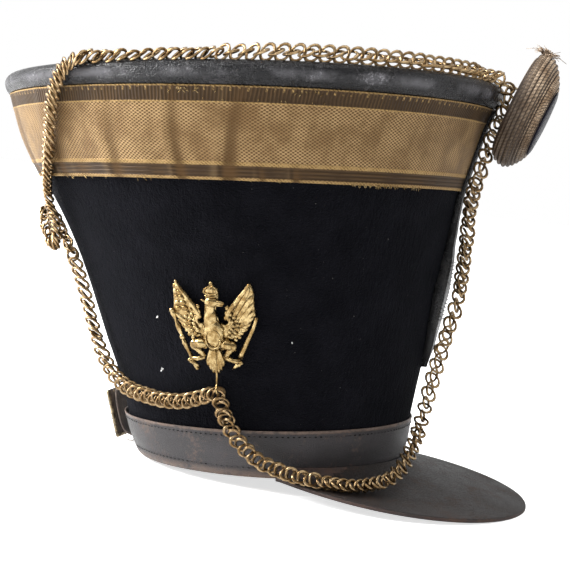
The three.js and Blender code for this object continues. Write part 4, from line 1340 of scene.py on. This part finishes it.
@dataclass
class Eagle:
    """The gilt eagle with its crown, spread wings, sceptre and rod, and the hook for the chain."""

    turn: float = -90.5
    z: float = 95.0
    stand: float = 0.5
    lean: float = math.radians(15.5)
    wing_sweep: float = math.radians(6)

    def spot(self, x: float, y: float, height: float) -> Vector:
        """Finds a place on the badge's front, with the wings swept back round the hat."""
        bend = max(abs(x) - 5, 0) * math.tan(self.wing_sweep)
        return Vector((x, y, height - bend))

    def plate(self, mesh: BMesh, outline: Section, low: float, high: float) -> None:
        """Adds a flat plate of an outline.

        Args:
            mesh: The mesh that takes it.
            outline: Its corners.
            low: The height of its back.
            high: The height of its front.
        """
        part = bmesh.new()
        corners = [part.verts.new((x, y, low)) for x, y in outline]
        face = part.faces.new(corners)
        raised = bmesh.ops.extrude_face_region(part, geom=[face])["geom"]
        moved = [item for item in raised if isinstance(item, bmesh.types.BMVert)]
        bmesh.ops.translate(part, vec=(0, 0, high - low), verts=moved)
        bmesh.ops.recalc_face_normals(part, faces=part.faces)
        rims = [e for e in part.edges if all(v.co.z > (low + high) / 2 for v in e.verts)]
        bmesh.ops.bevel(
            part, geom=rims, offset=0.55, offset_type="OFFSET", segments=2, profile=0.5, affect="EDGES", material=-1
        )
        for vert in part.verts:
            vert.co = self.spot(*vert.co)
        bmesh.ops.triangulate(part, faces=part.faces)
        data = bpy.data.meshes.new("plate")
        part.to_mesh(data)
        part.free()
        mesh.from_mesh(data)
        bpy.data.meshes.remove(data)

    def feather(self, mesh: BMesh, row: Feather) -> None:
        """Adds one raised feather."""
        a = self.spot(*row.root, row.height)
        b = self.spot(*row.tip, row.height - 0.35)
        length = (b - a).length
        matrix = stretched((a + b) / 2, b - a, UP, (length / 2, row.width / 2, 0.95))
        add_ball(mesh, matrix, 8, 6)

    def fan(self, mesh: BMesh, side: float) -> None:
        """Adds the rows of feathers on one wing. side is -1 for the wearer's rear and 1 for the front."""
        if side > 0:
            rows = [Feather((12, 7), (24.2, 28.8), 3.6, 3.0), Feather((14, 6), (25.6, 23.6), 3.5, 2.8),
                    Feather((15, 4), (26.3, 18.6), 3.5, 2.7), Feather((15.4, 2), (26.4, 13.6), 3.4, 2.6)]
        else:
            rows = [Feather((16 + i * 1.1, 12.5 + i * 2.9), (20.6 + i * 0.75, 12.6 + i * 3.6), 3.4, 2.9)
                    for i in range(5)]
            rows += [Feather((21.5 - i * 0.25, 26 - i * 3.4), (25.6 - i * 0.1, 26.4 - i * 3.9), 3.6, 2.4)
                     for i in range(5)]
        rows += [Feather((15.6, 1.6), (25.6, 9.4), 3.2, 2.5), Feather((15, 0), (23.6, 5.2), 3.1, 2.5),
                 Feather((14, -1.5), (21.6, 1.6), 3.0, 2.5), Feather((12.6, -2.6), (19, -1.4), 2.9, 2.5),
                 Feather((10.6, -3.2), (16, -3.8), 2.8, 2.5), Feather((8.2, -3.4), (12.6, -5.2), 2.7, 2.5)]
        for row in rows:
            root, tip = ((x * side, y) for x, y in (row.root, row.tip))
            self.feather(mesh, Feather(root, tip, row.width, row.height))
        dice = random.Random(3 + int(side))
        for ring, (radius, count) in enumerate(((5.2, 6), (8.2, 8), (11.4, 10))):
            for i in range(count):
                angle = math.radians(-55 + 135 * i / (count - 1))
                x = 7.4 + radius * math.cos(angle) * 0.95
                y = 3.4 + radius * math.sin(angle) * 0.98
                size = dice.uniform(1.15, 1.45)
                centre = self.spot(x * side, y, 3.4 - ring * 0.3)
                outward = Vector((math.cos(angle) * side, math.sin(angle), 0))
                add_ball(mesh, stretched(centre, outward, UP, (size * 1.25, size, 0.75)), 7, 5)

    def leading_edge(self, mesh: BMesh, side: float) -> None:
        """Adds the smooth raised leading edge of one wing, which ends in a scroll."""
        outline = [(23.4, 30), (21, 26), (17.6, 21.8), (13.6, 16.6), (10.2, 12), (9, 8.6), (10.6, 6.2),
                   (9.2, 3.6), (6, 3.2)]
        points = smooth_route([self.spot(x * side, y, 3.0) for x, y in outline], 4)
        count = len(points)
        radii = [0.7 + 0.9 * math.sin(math.pi * min(i / count * 1.15, 1)) for i in range(count)]
        add_wire(mesh, points, radii, 8)

    def body(self, mesh: BMesh) -> None:
        """Adds the breast, neck, head, beak and crown."""
        drops = [
            ((0, -3), (0, 1), 10.5, 6.6, 3.2, 2.6),
            ((-1.5, 6.6), (0.1, 1), 8.2, 4.3, 2.7, 2.8),
            ((-1.2, 13.2), (0.15, 1), 5.4, 2.9, 2.3, 2.9),
            ((-0.2, 18.0), (1, 0.1), 4.4, 3.4, 2.5, 3.4),
            ((-5.0, 18.8), (-1, 0.4), 1.9, 0.7, 0.8, 3.4),
            ((4.4, 17.9), (1, -0.1), 3.8, 1.5, 1.3, 3.6),
            ((4.6, 16.2), (1, -0.05), 2.6, 0.8, 0.9, 3.2),
            ((0.1, 25.3), (1, 0), 4.4, 2.9, 2.0, 2.8),
            ((0.1, 29.5), (0, 1), 1.3, 1.2, 1.1, 2.8),
            ((0.1, 28.2), (1, 0), 1.7, 0.7, 1.2, 2.8),
        ]
        for (x, y), (dx, dy), long, wide, deep, height in drops:
            add_ball(mesh, stretched(Vector((x, y, height)), Vector((dx, dy, 0)), UP, (long, wide, deep)), 16, 12)
        add_ball(mesh, stretched(Vector((-0.6, 18.2, 5.9)), Vector((1, 0, 0)), UP, (0.75, 0.55, 0.35)), 8, 6)
        for y, half in ((21.6, 4.1), (23.2, 4.3)):
            route = [Vector((x, y + 0.04 * x * x, 3.6 + 1.2 * (1 - (x / half) ** 2))) for x in
                     [half * (i / 4 - 1) for i in range(9)]]
            add_wire(mesh, route, [0.55] * len(route), 6)
        for lean in (-1, -0.35, 0.35, 1):
            route = [Vector((lean * s, 23.4 + t, 4.2 + 0.5 * math.sin(t))) for s, t in
                     ((3.7, 0), (4.4, 1.4), (3.8, 3.0), (2.2, 4.2), (0.3, 4.9))]
            add_wire(mesh, route, [0.42] * len(route), 5)
        for row in range(9):
            for col in range(4):
                x = -4.4 + col * 2.1 + (row % 2) * 1.0 + (0.25 * (8 - row) if col > 1 else 0)
                y = 13.2 - row * 1.55
                if y > 1.2 and abs(x + 1.3) < 2.4 + (13.2 - y) * 0.16:
                    spot = Vector((x + 0.3, y, 4.6 - 0.12 * (x + 1.2) ** 2))
                    add_ball(mesh, stretched(spot, Vector((0, -1, 0)), UP, (1.1, 0.8, 0.5)), 6, 4)
        rim = [Vector((0.3 + 4.7 * math.cos(a), -5.0 + 6.0 * math.sin(a), 5.0 + 0.5)) for a in
               [math.tau * i / 24 for i in range(25)]]
        add_wire(mesh, rim, [0.5] * len(rim), 6)
        add_ball(mesh, stretched(Vector((0.3, -5.0, 4.7)), Vector((0, 1, 0)), UP, (5.4, 4.1, 0.9)), 16, 8)
        for side in (-1, 1):
            for i in range(5):
                spot = Vector((side * (5.6 - i * 0.1), 1 - i * 3.0, 3.6))
                add_ball(mesh, stretched(spot, Vector((side * 0.5, -1, 0)), UP, (1.6, 1.0, 0.7)), 6, 4)

    def legs(self, mesh: BMesh) -> None:
        """Adds the thighs, shins, claws and tail."""
        for side in (-1, 1):
            knee = Vector((side * 12 - 0.5, -10.0, 3.0))
            hip = Vector((side * 5, -9.0, 2.6))
            heel = Vector((side * 6.6, -17.6, 2.4))
            hand = Vector((side * 16 + (0.4 if side < 0 else 0), -19.6, 2.2))
            add_wire(mesh, [hip, (hip + knee) / 2 + Vector((0, 0.9, 0.5)), knee], (3.3, 3.4, 2.9), 10)
            add_ball(mesh, stretched(knee, Vector((0, 1, 0)), UP, (3.6, 3.0, 2.4)), 12, 8)
            add_wire(mesh, [knee, (knee + heel) / 2, heel], (2.6, 2.0, 1.6), 8)
            add_wire(mesh, [heel, (heel + hand) / 2 + Vector((0, -0.6, 0.4)), hand], (1.6, 1.5, 1.7), 8)
            for i in range(4):
                tip = hand + Vector((side * (1.6 - i * 2.4), -2.2 - i * 1.2 + (i == 0) * 1.0, -0.6))
                add_wire(mesh, [hand + UP * 0.7, (hand + tip) / 2 + UP * 1.4, tip], (1.3, 1.2, 0.6), 6)
        for i in range(7):
            swing = (i - 3) / 3
            tip = Vector((swing * 4.9, -29.4 + 5.4 * abs(swing) ** 1.7, 1.6))
            root = Vector((swing * 2.2, -12, 2.2))
            middle = (tip + root) / 2 + Vector((swing * 1.0, -2.0, 0.4 - 0.3 * abs(swing)))
            add_wire(mesh, smooth_route([root, middle, tip], 4), [1.3, 1.35, 1.4, 1.5, 1.55, 1.5, 1.3, 1.0, 0.5], 7)

    def rods(self, mesh: BMesh) -> None:
        """Adds the knobbed sceptre and the plain rod."""
        rear = [(-26.6, 10.2), (-25.4, 6), (-23.4, 0.8), (-20.9, -6.3), (-19.3, -10.6), (-15.8, -18.4), (-11.8, -27)]
        points = smooth_route([self.spot(x, y, 2.4) for x, y in rear], 4)
        count = len(points)
        radii = [1.3 + 0.45 * math.sin(i * 0.9) * (1 if i < count * 0.7 else 0.3) for i in range(count)]
        radii[-1] = 0.5
        add_wire(mesh, points, radii, 8)
        for x, y, size in ((-26.8, 10.2, 1.7), (-20.9, -6.3, 1.9), (-19.4, -10.4, 1.8), (-12.2, -26, 1.2)):
            centre = self.spot(x, y, 2.6)
            add_ball(mesh, stretched(centre, Vector((0.4, -1, 0)), UP, (size, size, size * 0.8)), 10, 7)
        front = smooth_route([self.spot(x, y, 2.2) for x, y in ((26.8, 8.6), (24.6, 2), (20.4, -7), (15.6, -17.4))], 4)
        add_wire(mesh, front, [1.0 + 0.75 * i / 12 for i in range(len(front))], 8)

    def build(self) -> None:
        """Builds the whole badge as one piece."""
        mesh = bmesh.new()
        for side in (-1, 1):
            wing = [(23.6, 29.6), (25.4, 24), (25.4, 16), (26, 9.6), (21.5, 2.4), (17.4, -2.6), (12.4, -5.4),
                    (4.7, -6), (4.7, 4.4), (8, 3.2), (10.4, 6.2), (9.6, 11.4), (14, 16.8), (19, 23)]
            self.plate(mesh, [(x * side, y) for x, y in wing], 0, 2.2)
            self.fan(mesh, side)
            self.leading_edge(mesh, side)
        neck = [(-5, 0), (-5.6, 11), (-4.6, 19), (-4, 24), (0, 29), (4, 24), (3.6, 19), (1.6, 12), (5, 1)]
        self.plate(mesh, neck, 0, 2)
        self.plate(mesh, [(-3.6, -9), (-4.7, -24), (0, -30), (4.7, -24), (3.6, -9)], 0, 1.4)
        self.body(mesh)
        self.legs(mesh)
        self.rods(mesh)
        hook = ((0.7, -12, 4.2), (0.7, -22, 3.6), (0.6, -30.5, 3), (0.8, -34.6, 4.6), (1.2, -37.2, 7.4),
                (1.2, -40, 6.4))
        route = smooth_route([Vector(spot) for spot in hook], 5)
        add_wire(mesh, route, [0.62] * len(route), 8)
        place = hat_point(self.turn, self.z, self.stand)
        matrix = Matrix.Translation(place) @ Matrix.Rotation(math.pi / 2 + self.lean, 4, "X")
        bmesh.ops.transform(mesh, matrix=matrix, verts=mesh.verts)
        MeshPiece("gilt_eagle", mesh, Finish.GILT.material).settle("gilt", "eagle_badge")


@dataclass(frozen=True)
class RouteRow:
    """A point on the chain's middle line. lay is 1 where its flat side faces up."""

    turn: float
    z: float
    stand: float
    lay: float = 0.0


@dataclass(frozen=True)
class LinkLay:
    """How the pairs of rings lie along a stretch, in mm and degrees.

    Facing turns their flat side round the hat, away from straight out. Slant leans each ring's
    long way in its own plane, and tall is how much longer that way is. Crossed pairs lean opposite ways.
    """

    pitch: float
    lean: float
    roll: float
    apart: float
    jitter: float
    dense: tuple[float, float] = (0.0, 0.0)
    facing: float = 0.0
    slant: float = 0.0
    tall: float = 1.0
    crossed: bool = False

    def at(self, z: float) -> tuple[float, float, float]:
        """Gives the pitch, lean and roll at a height. They are tighter inside the dense heights."""
        if self.dense[0] < z < self.dense[1]:
            return self.pitch * 0.64, self.lean * 0.72, self.roll * 1.3
        return self.pitch, self.lean, self.roll


class Stretch(Enum):
    """The chain's stretches, each with its points and the lay of its links."""

    BACK = (
        LinkLay(6.8, 62, 18, 2.4, 5, slant=44, tall=1.4, crossed=True),
        (
            (-148, 130, 5.2), (-146.5, 121, 5.8), (-146, 110, 6.4),
            (-145.5, 95, 7.6), (-145.5, 76, 8), (-144, 64, 7.8), (-139, 54, 6.5),
            (-132, 49, 5), (-123, 47, 4), (-115, 46, 4), (-106, 47, 4),
            (-98, 51, 4.4), (-92.5, 54, 5.2),
        ),
    )
    SWAG = (
        LinkLay(7.4, 66, 26, 3.0, 8, (-9, 3.5), slant=40, tall=1.36, crossed=True),
        (
            (-90, 40, 6.6), (-86.5, 27.5, 8), (-83, 20, 8.7), (-78.5, 13.5, 10),
            (-72.5, 9.2, 12, 0.1), (-67, 6.2, 14.5, 0.2), (-61, 4.3, 18, 0.25),
            (-55, 2.6, 22, 0.3), (-49, 1.8, 26.5, 0.3), (-43, 2.2, 28.5, 0.3),
            (-35, 4.6, 27.5, 0.3), (-28, 9.6, 22.5, 0.2), (-20.5, 17, 16.5, 0.1),
        ),
    )
    FRONT = (
        LinkLay(9.6, 64, 30, 3.8, 14, (116, 190), -52, 42, 1.4, True),
        (
            (-13, 26, 12.5), (-6.5, 36, 9.6), (-2, 50, 8.6), (-0.5, 70, 9),
            (0, 93, 11), (0, 113, 13.2), (0, 133, 12.2), (0, 153, 10.4),
            (0, 179, 7.8), (0, 195, 7.5), (0, 211, 7.1), (0, 224, 7),
            (0, 238, 6.5), (-2, 247, 4.8, 0.2),
        ),
    )
    RIM = (
        LinkLay(8.4, 64, 28, 3.6, 10, slant=40, tall=1.38, crossed=True),
        (
            (-6.5, 254.6, 0.2, 0.7), (-12, 255.8, -5, 0.7), (-20, 256.2, -6, 0.5),
            (-36, 256.3, -6, 0.45), (-52, 256.2, -6, 0.4), (-66, 255.9, -6, 0.45),
            (-78, 254.8, -6, 0.6), (-88, 253.6, -6, 0.85), (-98, 252.9, -6, 0.9),
            (-106, 252.4, -4.2, 0.9),
        ),
    )
    FALL = (
        LinkLay(5.4, 58, 8, 2.3, 3, slant=36, tall=1.24, crossed=True),
        (
            (-111, 251.8, 0.8, 0.7), (-114.5, 247, 4.4, 0.2), (-117, 240, 5),
            (-120, 229, 4.8), (-122, 220, 4.6), (-124, 211, 4.6), (-127.5, 200, 4.8),
            (-133, 188, 4.8), (-140, 177, 5), (-143.5, 165, 7.5), (-143, 153, 10.8),
            (-143.5, 144, 13.8),
        ),
    )
    BUNCH = (
        LinkLay(6.0, 62, 34, 2.4, 20),
        (
            (-146.5, 139.5, 16), (-149.8, 143.5, 15.6), (-150.6, 150, 14.6),
            (-151, 157, 12.4), (-152.8, 162.5, 8.2), (-155.5, 160, 4.8),
            (-156, 152, 4.4), (-154.5, 143, 4.2), (-151, 136.5, 4.4),
        ),
    )

    @property
    def links(self) -> LinkLay:
        """How this stretch's links lie."""
        return self.value[0]

    @property
    def rows(self) -> tuple[RouteRow, ...]:
        """The points of this stretch."""
        return tuple(RouteRow(*row) for row in self.value[1])


@dataclass
class Chain:
    """The chin chain: one closed loop of paired brass rings."""

    ring_radius: float = 4.2
    wire_radius: float = 0.86
    ring_steps: int = 14
    wire_sides: int = 5
    samples: int = 14

    def ring(self) -> bpy.types.Mesh:
        """Makes one ring lying flat about its own centre."""
        mesh = bmesh.new()
        turn = Matrix.Translation((self.ring_radius, 0, 0)) @ Matrix.Rotation(math.pi / 2, 4, "X")
        circle = bmesh.ops.create_circle(mesh, segments=self.wire_sides, radius=self.wire_radius, matrix=turn)["verts"]
        edges = list({edge for vert in circle for edge in vert.link_edges})
        spin_about_up(mesh, circle + edges, self.ring_steps)
        data = bpy.data.meshes.new("ring")
        mesh.to_mesh(data)
        mesh.free()
        return data

    def build(self) -> None:
        """Builds each stretch's rings as one joined piece."""
        rows = [row for stretch in Stretch for row in stretch.rows]
        points = [hat_point(row.turn, row.z, row.stand) for row in rows]
        count = len(rows)
        template = self.ring()
        dice = random.Random(21)
        first = 0
        for stretch in Stretch:
            line = []
            for i in range(first, first + len(stretch.rows)):
                four = [points[(i + k) % count] for k in (-1, 0, 1, 2)]
                here, after = rows[i], rows[(i + 1) % count]
                for t in (k / self.samples for k in range(self.samples)):
                    turn = here.turn + (after.turn - here.turn) * t
                    line.append((spline(four, t), turn, here.lay + (after.lay - here.lay) * t))
            first += len(stretch.rows)
            last = first % count
            line.append((points[last], rows[last].turn, rows[last].lay))
            mesh = bmesh.new()
            self.lay_rings(mesh, template, line, stretch.links, dice)
            name = "chain_links_" + stretch.name.lower()
            MeshPiece(name, mesh, Finish.CHAIN.material).settle("aged_brass", "chain_" + stretch.name.lower())
        bpy.data.meshes.remove(template)

    def lay_rings(self, mesh: BMesh, template: bpy.types.Mesh, line: list, links: LinkLay,
                  dice: random.Random) -> None:
        """Lays pairs of rings along a line.

        Args:
            mesh: The mesh that takes them.
            template: One ring.
            line: Points with their turn and lay.
            links: How the rings lie.
            dice: The source of small differences.
        """
        lengths = [0.0]
        for (a, _, _), (b, _, _) in zip(line, line[1:]):
            lengths.append(lengths[-1] + (b - a).length)
        reached, pair = links.pitch / 2, 0
        while reached < lengths[-1]:
            i = next(k for k, length in enumerate(lengths) if length > reached)
            pitch, base_lean, base_roll = links.at(line[i][0].z)
            for half in (-0.5, 0.5):
                wanted = min(max(reached + half * links.apart, 0.01), lengths[-1] - 0.01)
                i = next(k for k, length in enumerate(lengths) if length > wanted)
                t = (wanted - lengths[i - 1]) / (lengths[i] - lengths[i - 1])
                spot = line[i - 1][0].lerp(line[i][0], t)
                tangent = (line[i][0] - line[i - 1][0]).normalized()
                lay, turn = line[i][2], line[i][1]
                out = hat_outward(turn + links.facing, spot.z) * (1 - lay) + Vector((0, 0, lay))
                out = (out - tangent * out.dot(tangent)).normalized()
                side = tangent.cross(out)
                lean = math.radians(base_lean + dice.uniform(-1, 1) * links.jitter)
                sign = (1 if half > 0 else -1) if links.crossed else (1 if pair % 2 else -1)
                roll = math.radians(base_roll * sign + dice.uniform(-1, 1) * links.jitter)
                normal = tangent * math.cos(lean) + out * math.sin(lean)
                normal = normal * math.cos(roll) + side * math.sin(roll)
                first = (tangent - normal * tangent.dot(normal)).normalized()
                first.rotate(Matrix.Rotation(math.radians(links.slant * (sign if links.crossed else 1)), 3, normal))
                matrix = stretched(spot, first, normal, (0.9, 0.9 * links.tall, 1))
                ring = template.copy()
                ring.transform(matrix)
                mesh.from_mesh(ring)
                bpy.data.meshes.remove(ring)
            reached += pitch
            pair += 1


@dataclass
class BackTab:
    """The doubled leather tab, the buckle's frame and the loose thread below it."""

    turn: float = 178.7
    half_width: float = 8.5
    thickness: float = 1.8
    frame_centre: Vector = Vector((-113, 2, 21))
    frame_lean: float = math.radians(15)
    frame_height: float = 34.0
    frame_width: float = 22.0
    wire: float = 1.3
    rows: tuple[tuple[float, float], ...] = (
        (-0.4, 39), (3.4, 40.4), (8, 38.4), (9.8, 31), (10.4, 18), (9.8, 10), (6, 7), (1.8, 9),
    )

    def build(self) -> None:
        """Builds the tab, the frame and the thread."""
        line = smooth_route([Vector((stand, z, 0)) for stand, z in self.rows], 6)

        def place(u: float, v: float, w: float) -> Vector:
            """Folds the tab over and back, narrower at its foot."""
            i = min(round(v * (len(line) - 1)), len(line) - 1)
            run = (line[min(i + 1, len(line) - 1)] - line[max(i - 1, 0)]).normalized()
            deep = (w - 0.5) * self.thickness
            narrow = 1 - 0.25 * max(0.0, v - 0.3)
            half_turn = math.degrees(self.half_width * narrow / OUTLINE[1].side)
            spot = line[i]
            return hat_point(self.turn + (u * 2 - 1) * half_turn, spot.y + run.x * deep, spot.x - run.y * deep)

        mesh = bent_slab(8, len(line) - 1, place)
        MeshPiece("leather_tab", mesh, Finish.TAB.material).rounded(1).settle("brown_leather", "back_strap")
        up = Vector((-math.sin(self.frame_lean), 0, math.cos(self.frame_lean)))
        across = Vector((0, -1, 0))
        out = across.cross(up)

        def lie(u: float, v: float, w: float) -> Vector:
            """Lays the flap inside the frame, narrower and curling at its foot."""
            along = self.frame_height * (0.5 - 0.97 * v)
            half = (self.frame_width / 2 - 2.9) * (1 - 0.38 * v * v)
            curl = 1.6 * math.sin(math.pi * v) + 0.8 * math.sin(u * 5 + v * 3)
            return (self.frame_centre + across * ((u * 2 - 1) * half) + up * along
                    + out * (curl + (w - 0.5) * self.thickness))

        mesh = bent_slab(8, 20, lie)
        MeshPiece("leather_flap", mesh, Finish.TAB.material).rounded(1).settle("brown_leather")
        half_w, half_h = self.frame_width / 2 - self.wire, self.frame_height / 2 - self.wire
        mesh = bmesh.new()
        corners = [(-1, -1), (1, -1), (1, 1), (-1, 1)]
        spots = [self.frame_centre + across * (x * half_w) + up * (y * half_h) for x, y in corners]
        for a, b in zip(spots, spots[1:] + spots[:1]):
            over = (b - a).normalized() * self.wire * 0.6
            radii = [self.wire * share for share in (0.7, 1, 1, 1, 0.7)]
            add_wire(mesh, [a - over, a, (a + b) / 2, b, b + over], radii, 8)
        MeshPiece("buckle_frame", mesh, Finish.IRON.material).settle("iron", "back_buckle")
        mesh = bmesh.new()
        foot = self.frame_centre - up * (self.frame_height / 2 - 2)
        drape = ((3, -2, 3), (3.6, -2.5, -1), (6.0, -3, -5.4), (8.6, -3, -5.6), (10, -2, -1), (10.4, -1, 3))
        route = smooth_route([foot + Vector(step) for step in drape], 5)
        lowest = self.floor_height(route)
        for spot in route:
            spot.z += max(0.0, lowest - spot.z)
        add_wire(mesh, route, [0.3] * len(route), 5)
        MeshPiece("loose_thread", mesh, Finish.THREAD.material).settle("iron")

    def floor_height(self, route: Sequence[Vector]) -> float:
        """Gives the lowest height at which the thread clears the floor."""
        rearmost = min(spot.x for spot in route)
        return -(rearmost + OUTLINE[0].back) * math.tan(math.radians(REST_TILT)) + 0.8


@dataclass
class Lint:
    """A few white specks of lint caught on the wool."""

    spots: tuple[tuple[float, float, float], ...] = ((-111, 99, 1.0), (-114.5, 65, 1.1), (-67, 88, 0.6))

    def build(self) -> None:
        """Builds the specks as small flattened tufts."""
        look = Look("white_lint", Roughness=0.9)
        fluff = look.tree.noise(look.place, 4000, 2)
        look.feed("Base Color", look.tree.mix(fluff, (0.5, 0.5, 0.5, 1), (0.9, 0.9, 0.88, 1)))
        mesh = bmesh.new()
        dice = random.Random(2)
        for turn, z, size in self.spots:
            for _ in range(5):
                spot = hat_point(turn, z, -1.1) + Vector((dice.uniform(-1, 1), 0, dice.uniform(-1, 1))) * size * 0.7
                way = Vector((dice.uniform(-1, 1), 0, dice.uniform(-1, 1)))
                add_ball(mesh, stretched(spot, way, hat_outward(turn, z), (size * 0.7, size * 0.28, 0.25)), 6, 4)
        MeshPiece("lint_specks", mesh, look.material).settle("cloth")


@dataclass
class Studio:
    """The pale floor, the soft lights and the camera."""

    focal_length: float = 1287.5
    frame_width: float = 570.0
    distance: float = 871.0
    azimuth: float = 15.508
    elevation: float = 3.556
    roll: float = 2.081
    target: Vector = Vector((6.48, 0, 116.99))
    near_side: float = 0.2
    floor_size: float = 14.0
    aim_height: float = 0.15
    sensor: float = 36.0

    def build(self) -> None:
        """Builds all of it."""
        self.floor()
        self.lights()
        self.camera()

    def floor(self) -> None:
        """Builds a wide level floor."""
        mesh = bmesh.new()
        bmesh.ops.create_grid(mesh, x_segments=2, y_segments=2, size=self.floor_size)
        data = bpy.data.meshes.new("studio_floor")
        mesh.to_mesh(data)
        mesh.free()
        floor = put("studio_floor", data)
        look = Look("pale_floor", Roughness=0.9, Specular_IOR_Level=0.1)
        tone = look.tree.noise(look.place, 6, 2)
        look.feed("Base Color", look.tree.mix(tone, (0.93, 0.93, 0.93, 1), (0.95, 0.95, 0.95, 1)))
        seen = look.tree.add("LightPath").outputs["Is Camera Ray"]
        look.feed("Emission Color", look.tree.mix(seen, (0, 0, 0, 1), (0.7, 0.7, 0.7, 1)))
        look.shader.inputs["Emission Strength"].default_value = 1.0
        data.materials.append(look.material)

    def lights(self) -> None:
        """Sets the bright surroundings and the soft boxes."""
        world = bpy.data.worlds.new("studio_world")
        bpy.context.scene.world = world
        world.use_nodes = True
        tree = Tree(world.node_tree)
        background = world.node_tree.nodes["Background"]
        way = tree.add("SeparateXYZ", {0: tree.add("TexCoord").outputs["Generated"]})
        behind = tree.ramp(way.outputs[1], -0.45, 0.1)
        above = tree.ramp(way.outputs[2], 0.35, 0.9)
        lit = tree.maths("MAXIMUM", behind, tree.times(above, 0.8))
        dim = (self.near_side, self.near_side, self.near_side * 1.03, 1)
        world.node_tree.links.new(tree.mix(lit, dim, (1, 1, 1, 1)), background.inputs["Color"])
        bpy.context.scene.view_settings.view_transform = "Standard"
        self.soft_box("key", Vector((-1.6, -0.45, 0.95)), 0.8, 84)
        self.soft_box("strip", Vector((-0.75, -1.25, 1.45)), 0.45, 6)
        self.soft_box("top", Vector((0.1, -0.5, 1.6)), 1.2, 12)

    def soft_box(self, name: str, place: Vector, size: float, power: float) -> None:
        """Adds a square area light that looks at the hat.

        Args:
            name: The light's name.
            place: Where it stands, in metres.
            size: Its side, in metres.
            power: Its power, in watts.
        """
        light = bpy.data.lights.new(name, "AREA")
        light.size = size
        light.energy = power
        holder = put(name, light)
        holder.location = place
        holder.rotation_euler = (Vector((0, 0, self.aim_height)) - place).to_track_quat("-Z", "Y").to_euler()

    def camera(self) -> None:
        """Sets the camera level with the hat's front quarter."""
        az, el, roll = (math.radians(v) for v in (self.azimuth, self.elevation, self.roll))
        back = Vector((math.sin(az) * math.cos(el), -math.cos(az) * math.cos(el), math.sin(el)))
        eye = self.target + back * self.distance
        right = (-back).cross(UP).normalized()
        up = right.cross(-back)
        side = right * math.cos(roll) + up * math.sin(roll)
        rise = up * math.cos(roll) - right * math.sin(roll)
        tip = Matrix.Rotation(math.radians(-REST_TILT), 3, "Y")
        axes = Matrix((tip @ side, tip @ rise, tip @ back)).transposed()
        data = bpy.data.cameras.new("studio_camera")
        data.sensor_width = self.sensor
        data.sensor_fit = "HORIZONTAL"
        data.lens = self.focal_length / self.frame_width * data.sensor_width
        data.clip_end = 50
        camera = put("studio_camera", data)
        camera.matrix_world = Matrix.Translation(STANDING @ eye) @ axes.to_4x4()
        bpy.context.scene.camera = camera


def main() -> None:
    """Builds the studio and every piece."""
    logging.basicConfig(level=logging.INFO, format="%(name)s %(message)s")
    for part in (Studio(), Crown(), Lace(), HeadBand(), Peak(), FrontLoop(), FieldBadge(), Eagle(), Chain(),
                 BackTab(), Lint()):
        part.build()
        LOG.info("built %s", type(part).__name__)
    bpy.context.view_layer.update()


if __name__ == "__main__":
    main()
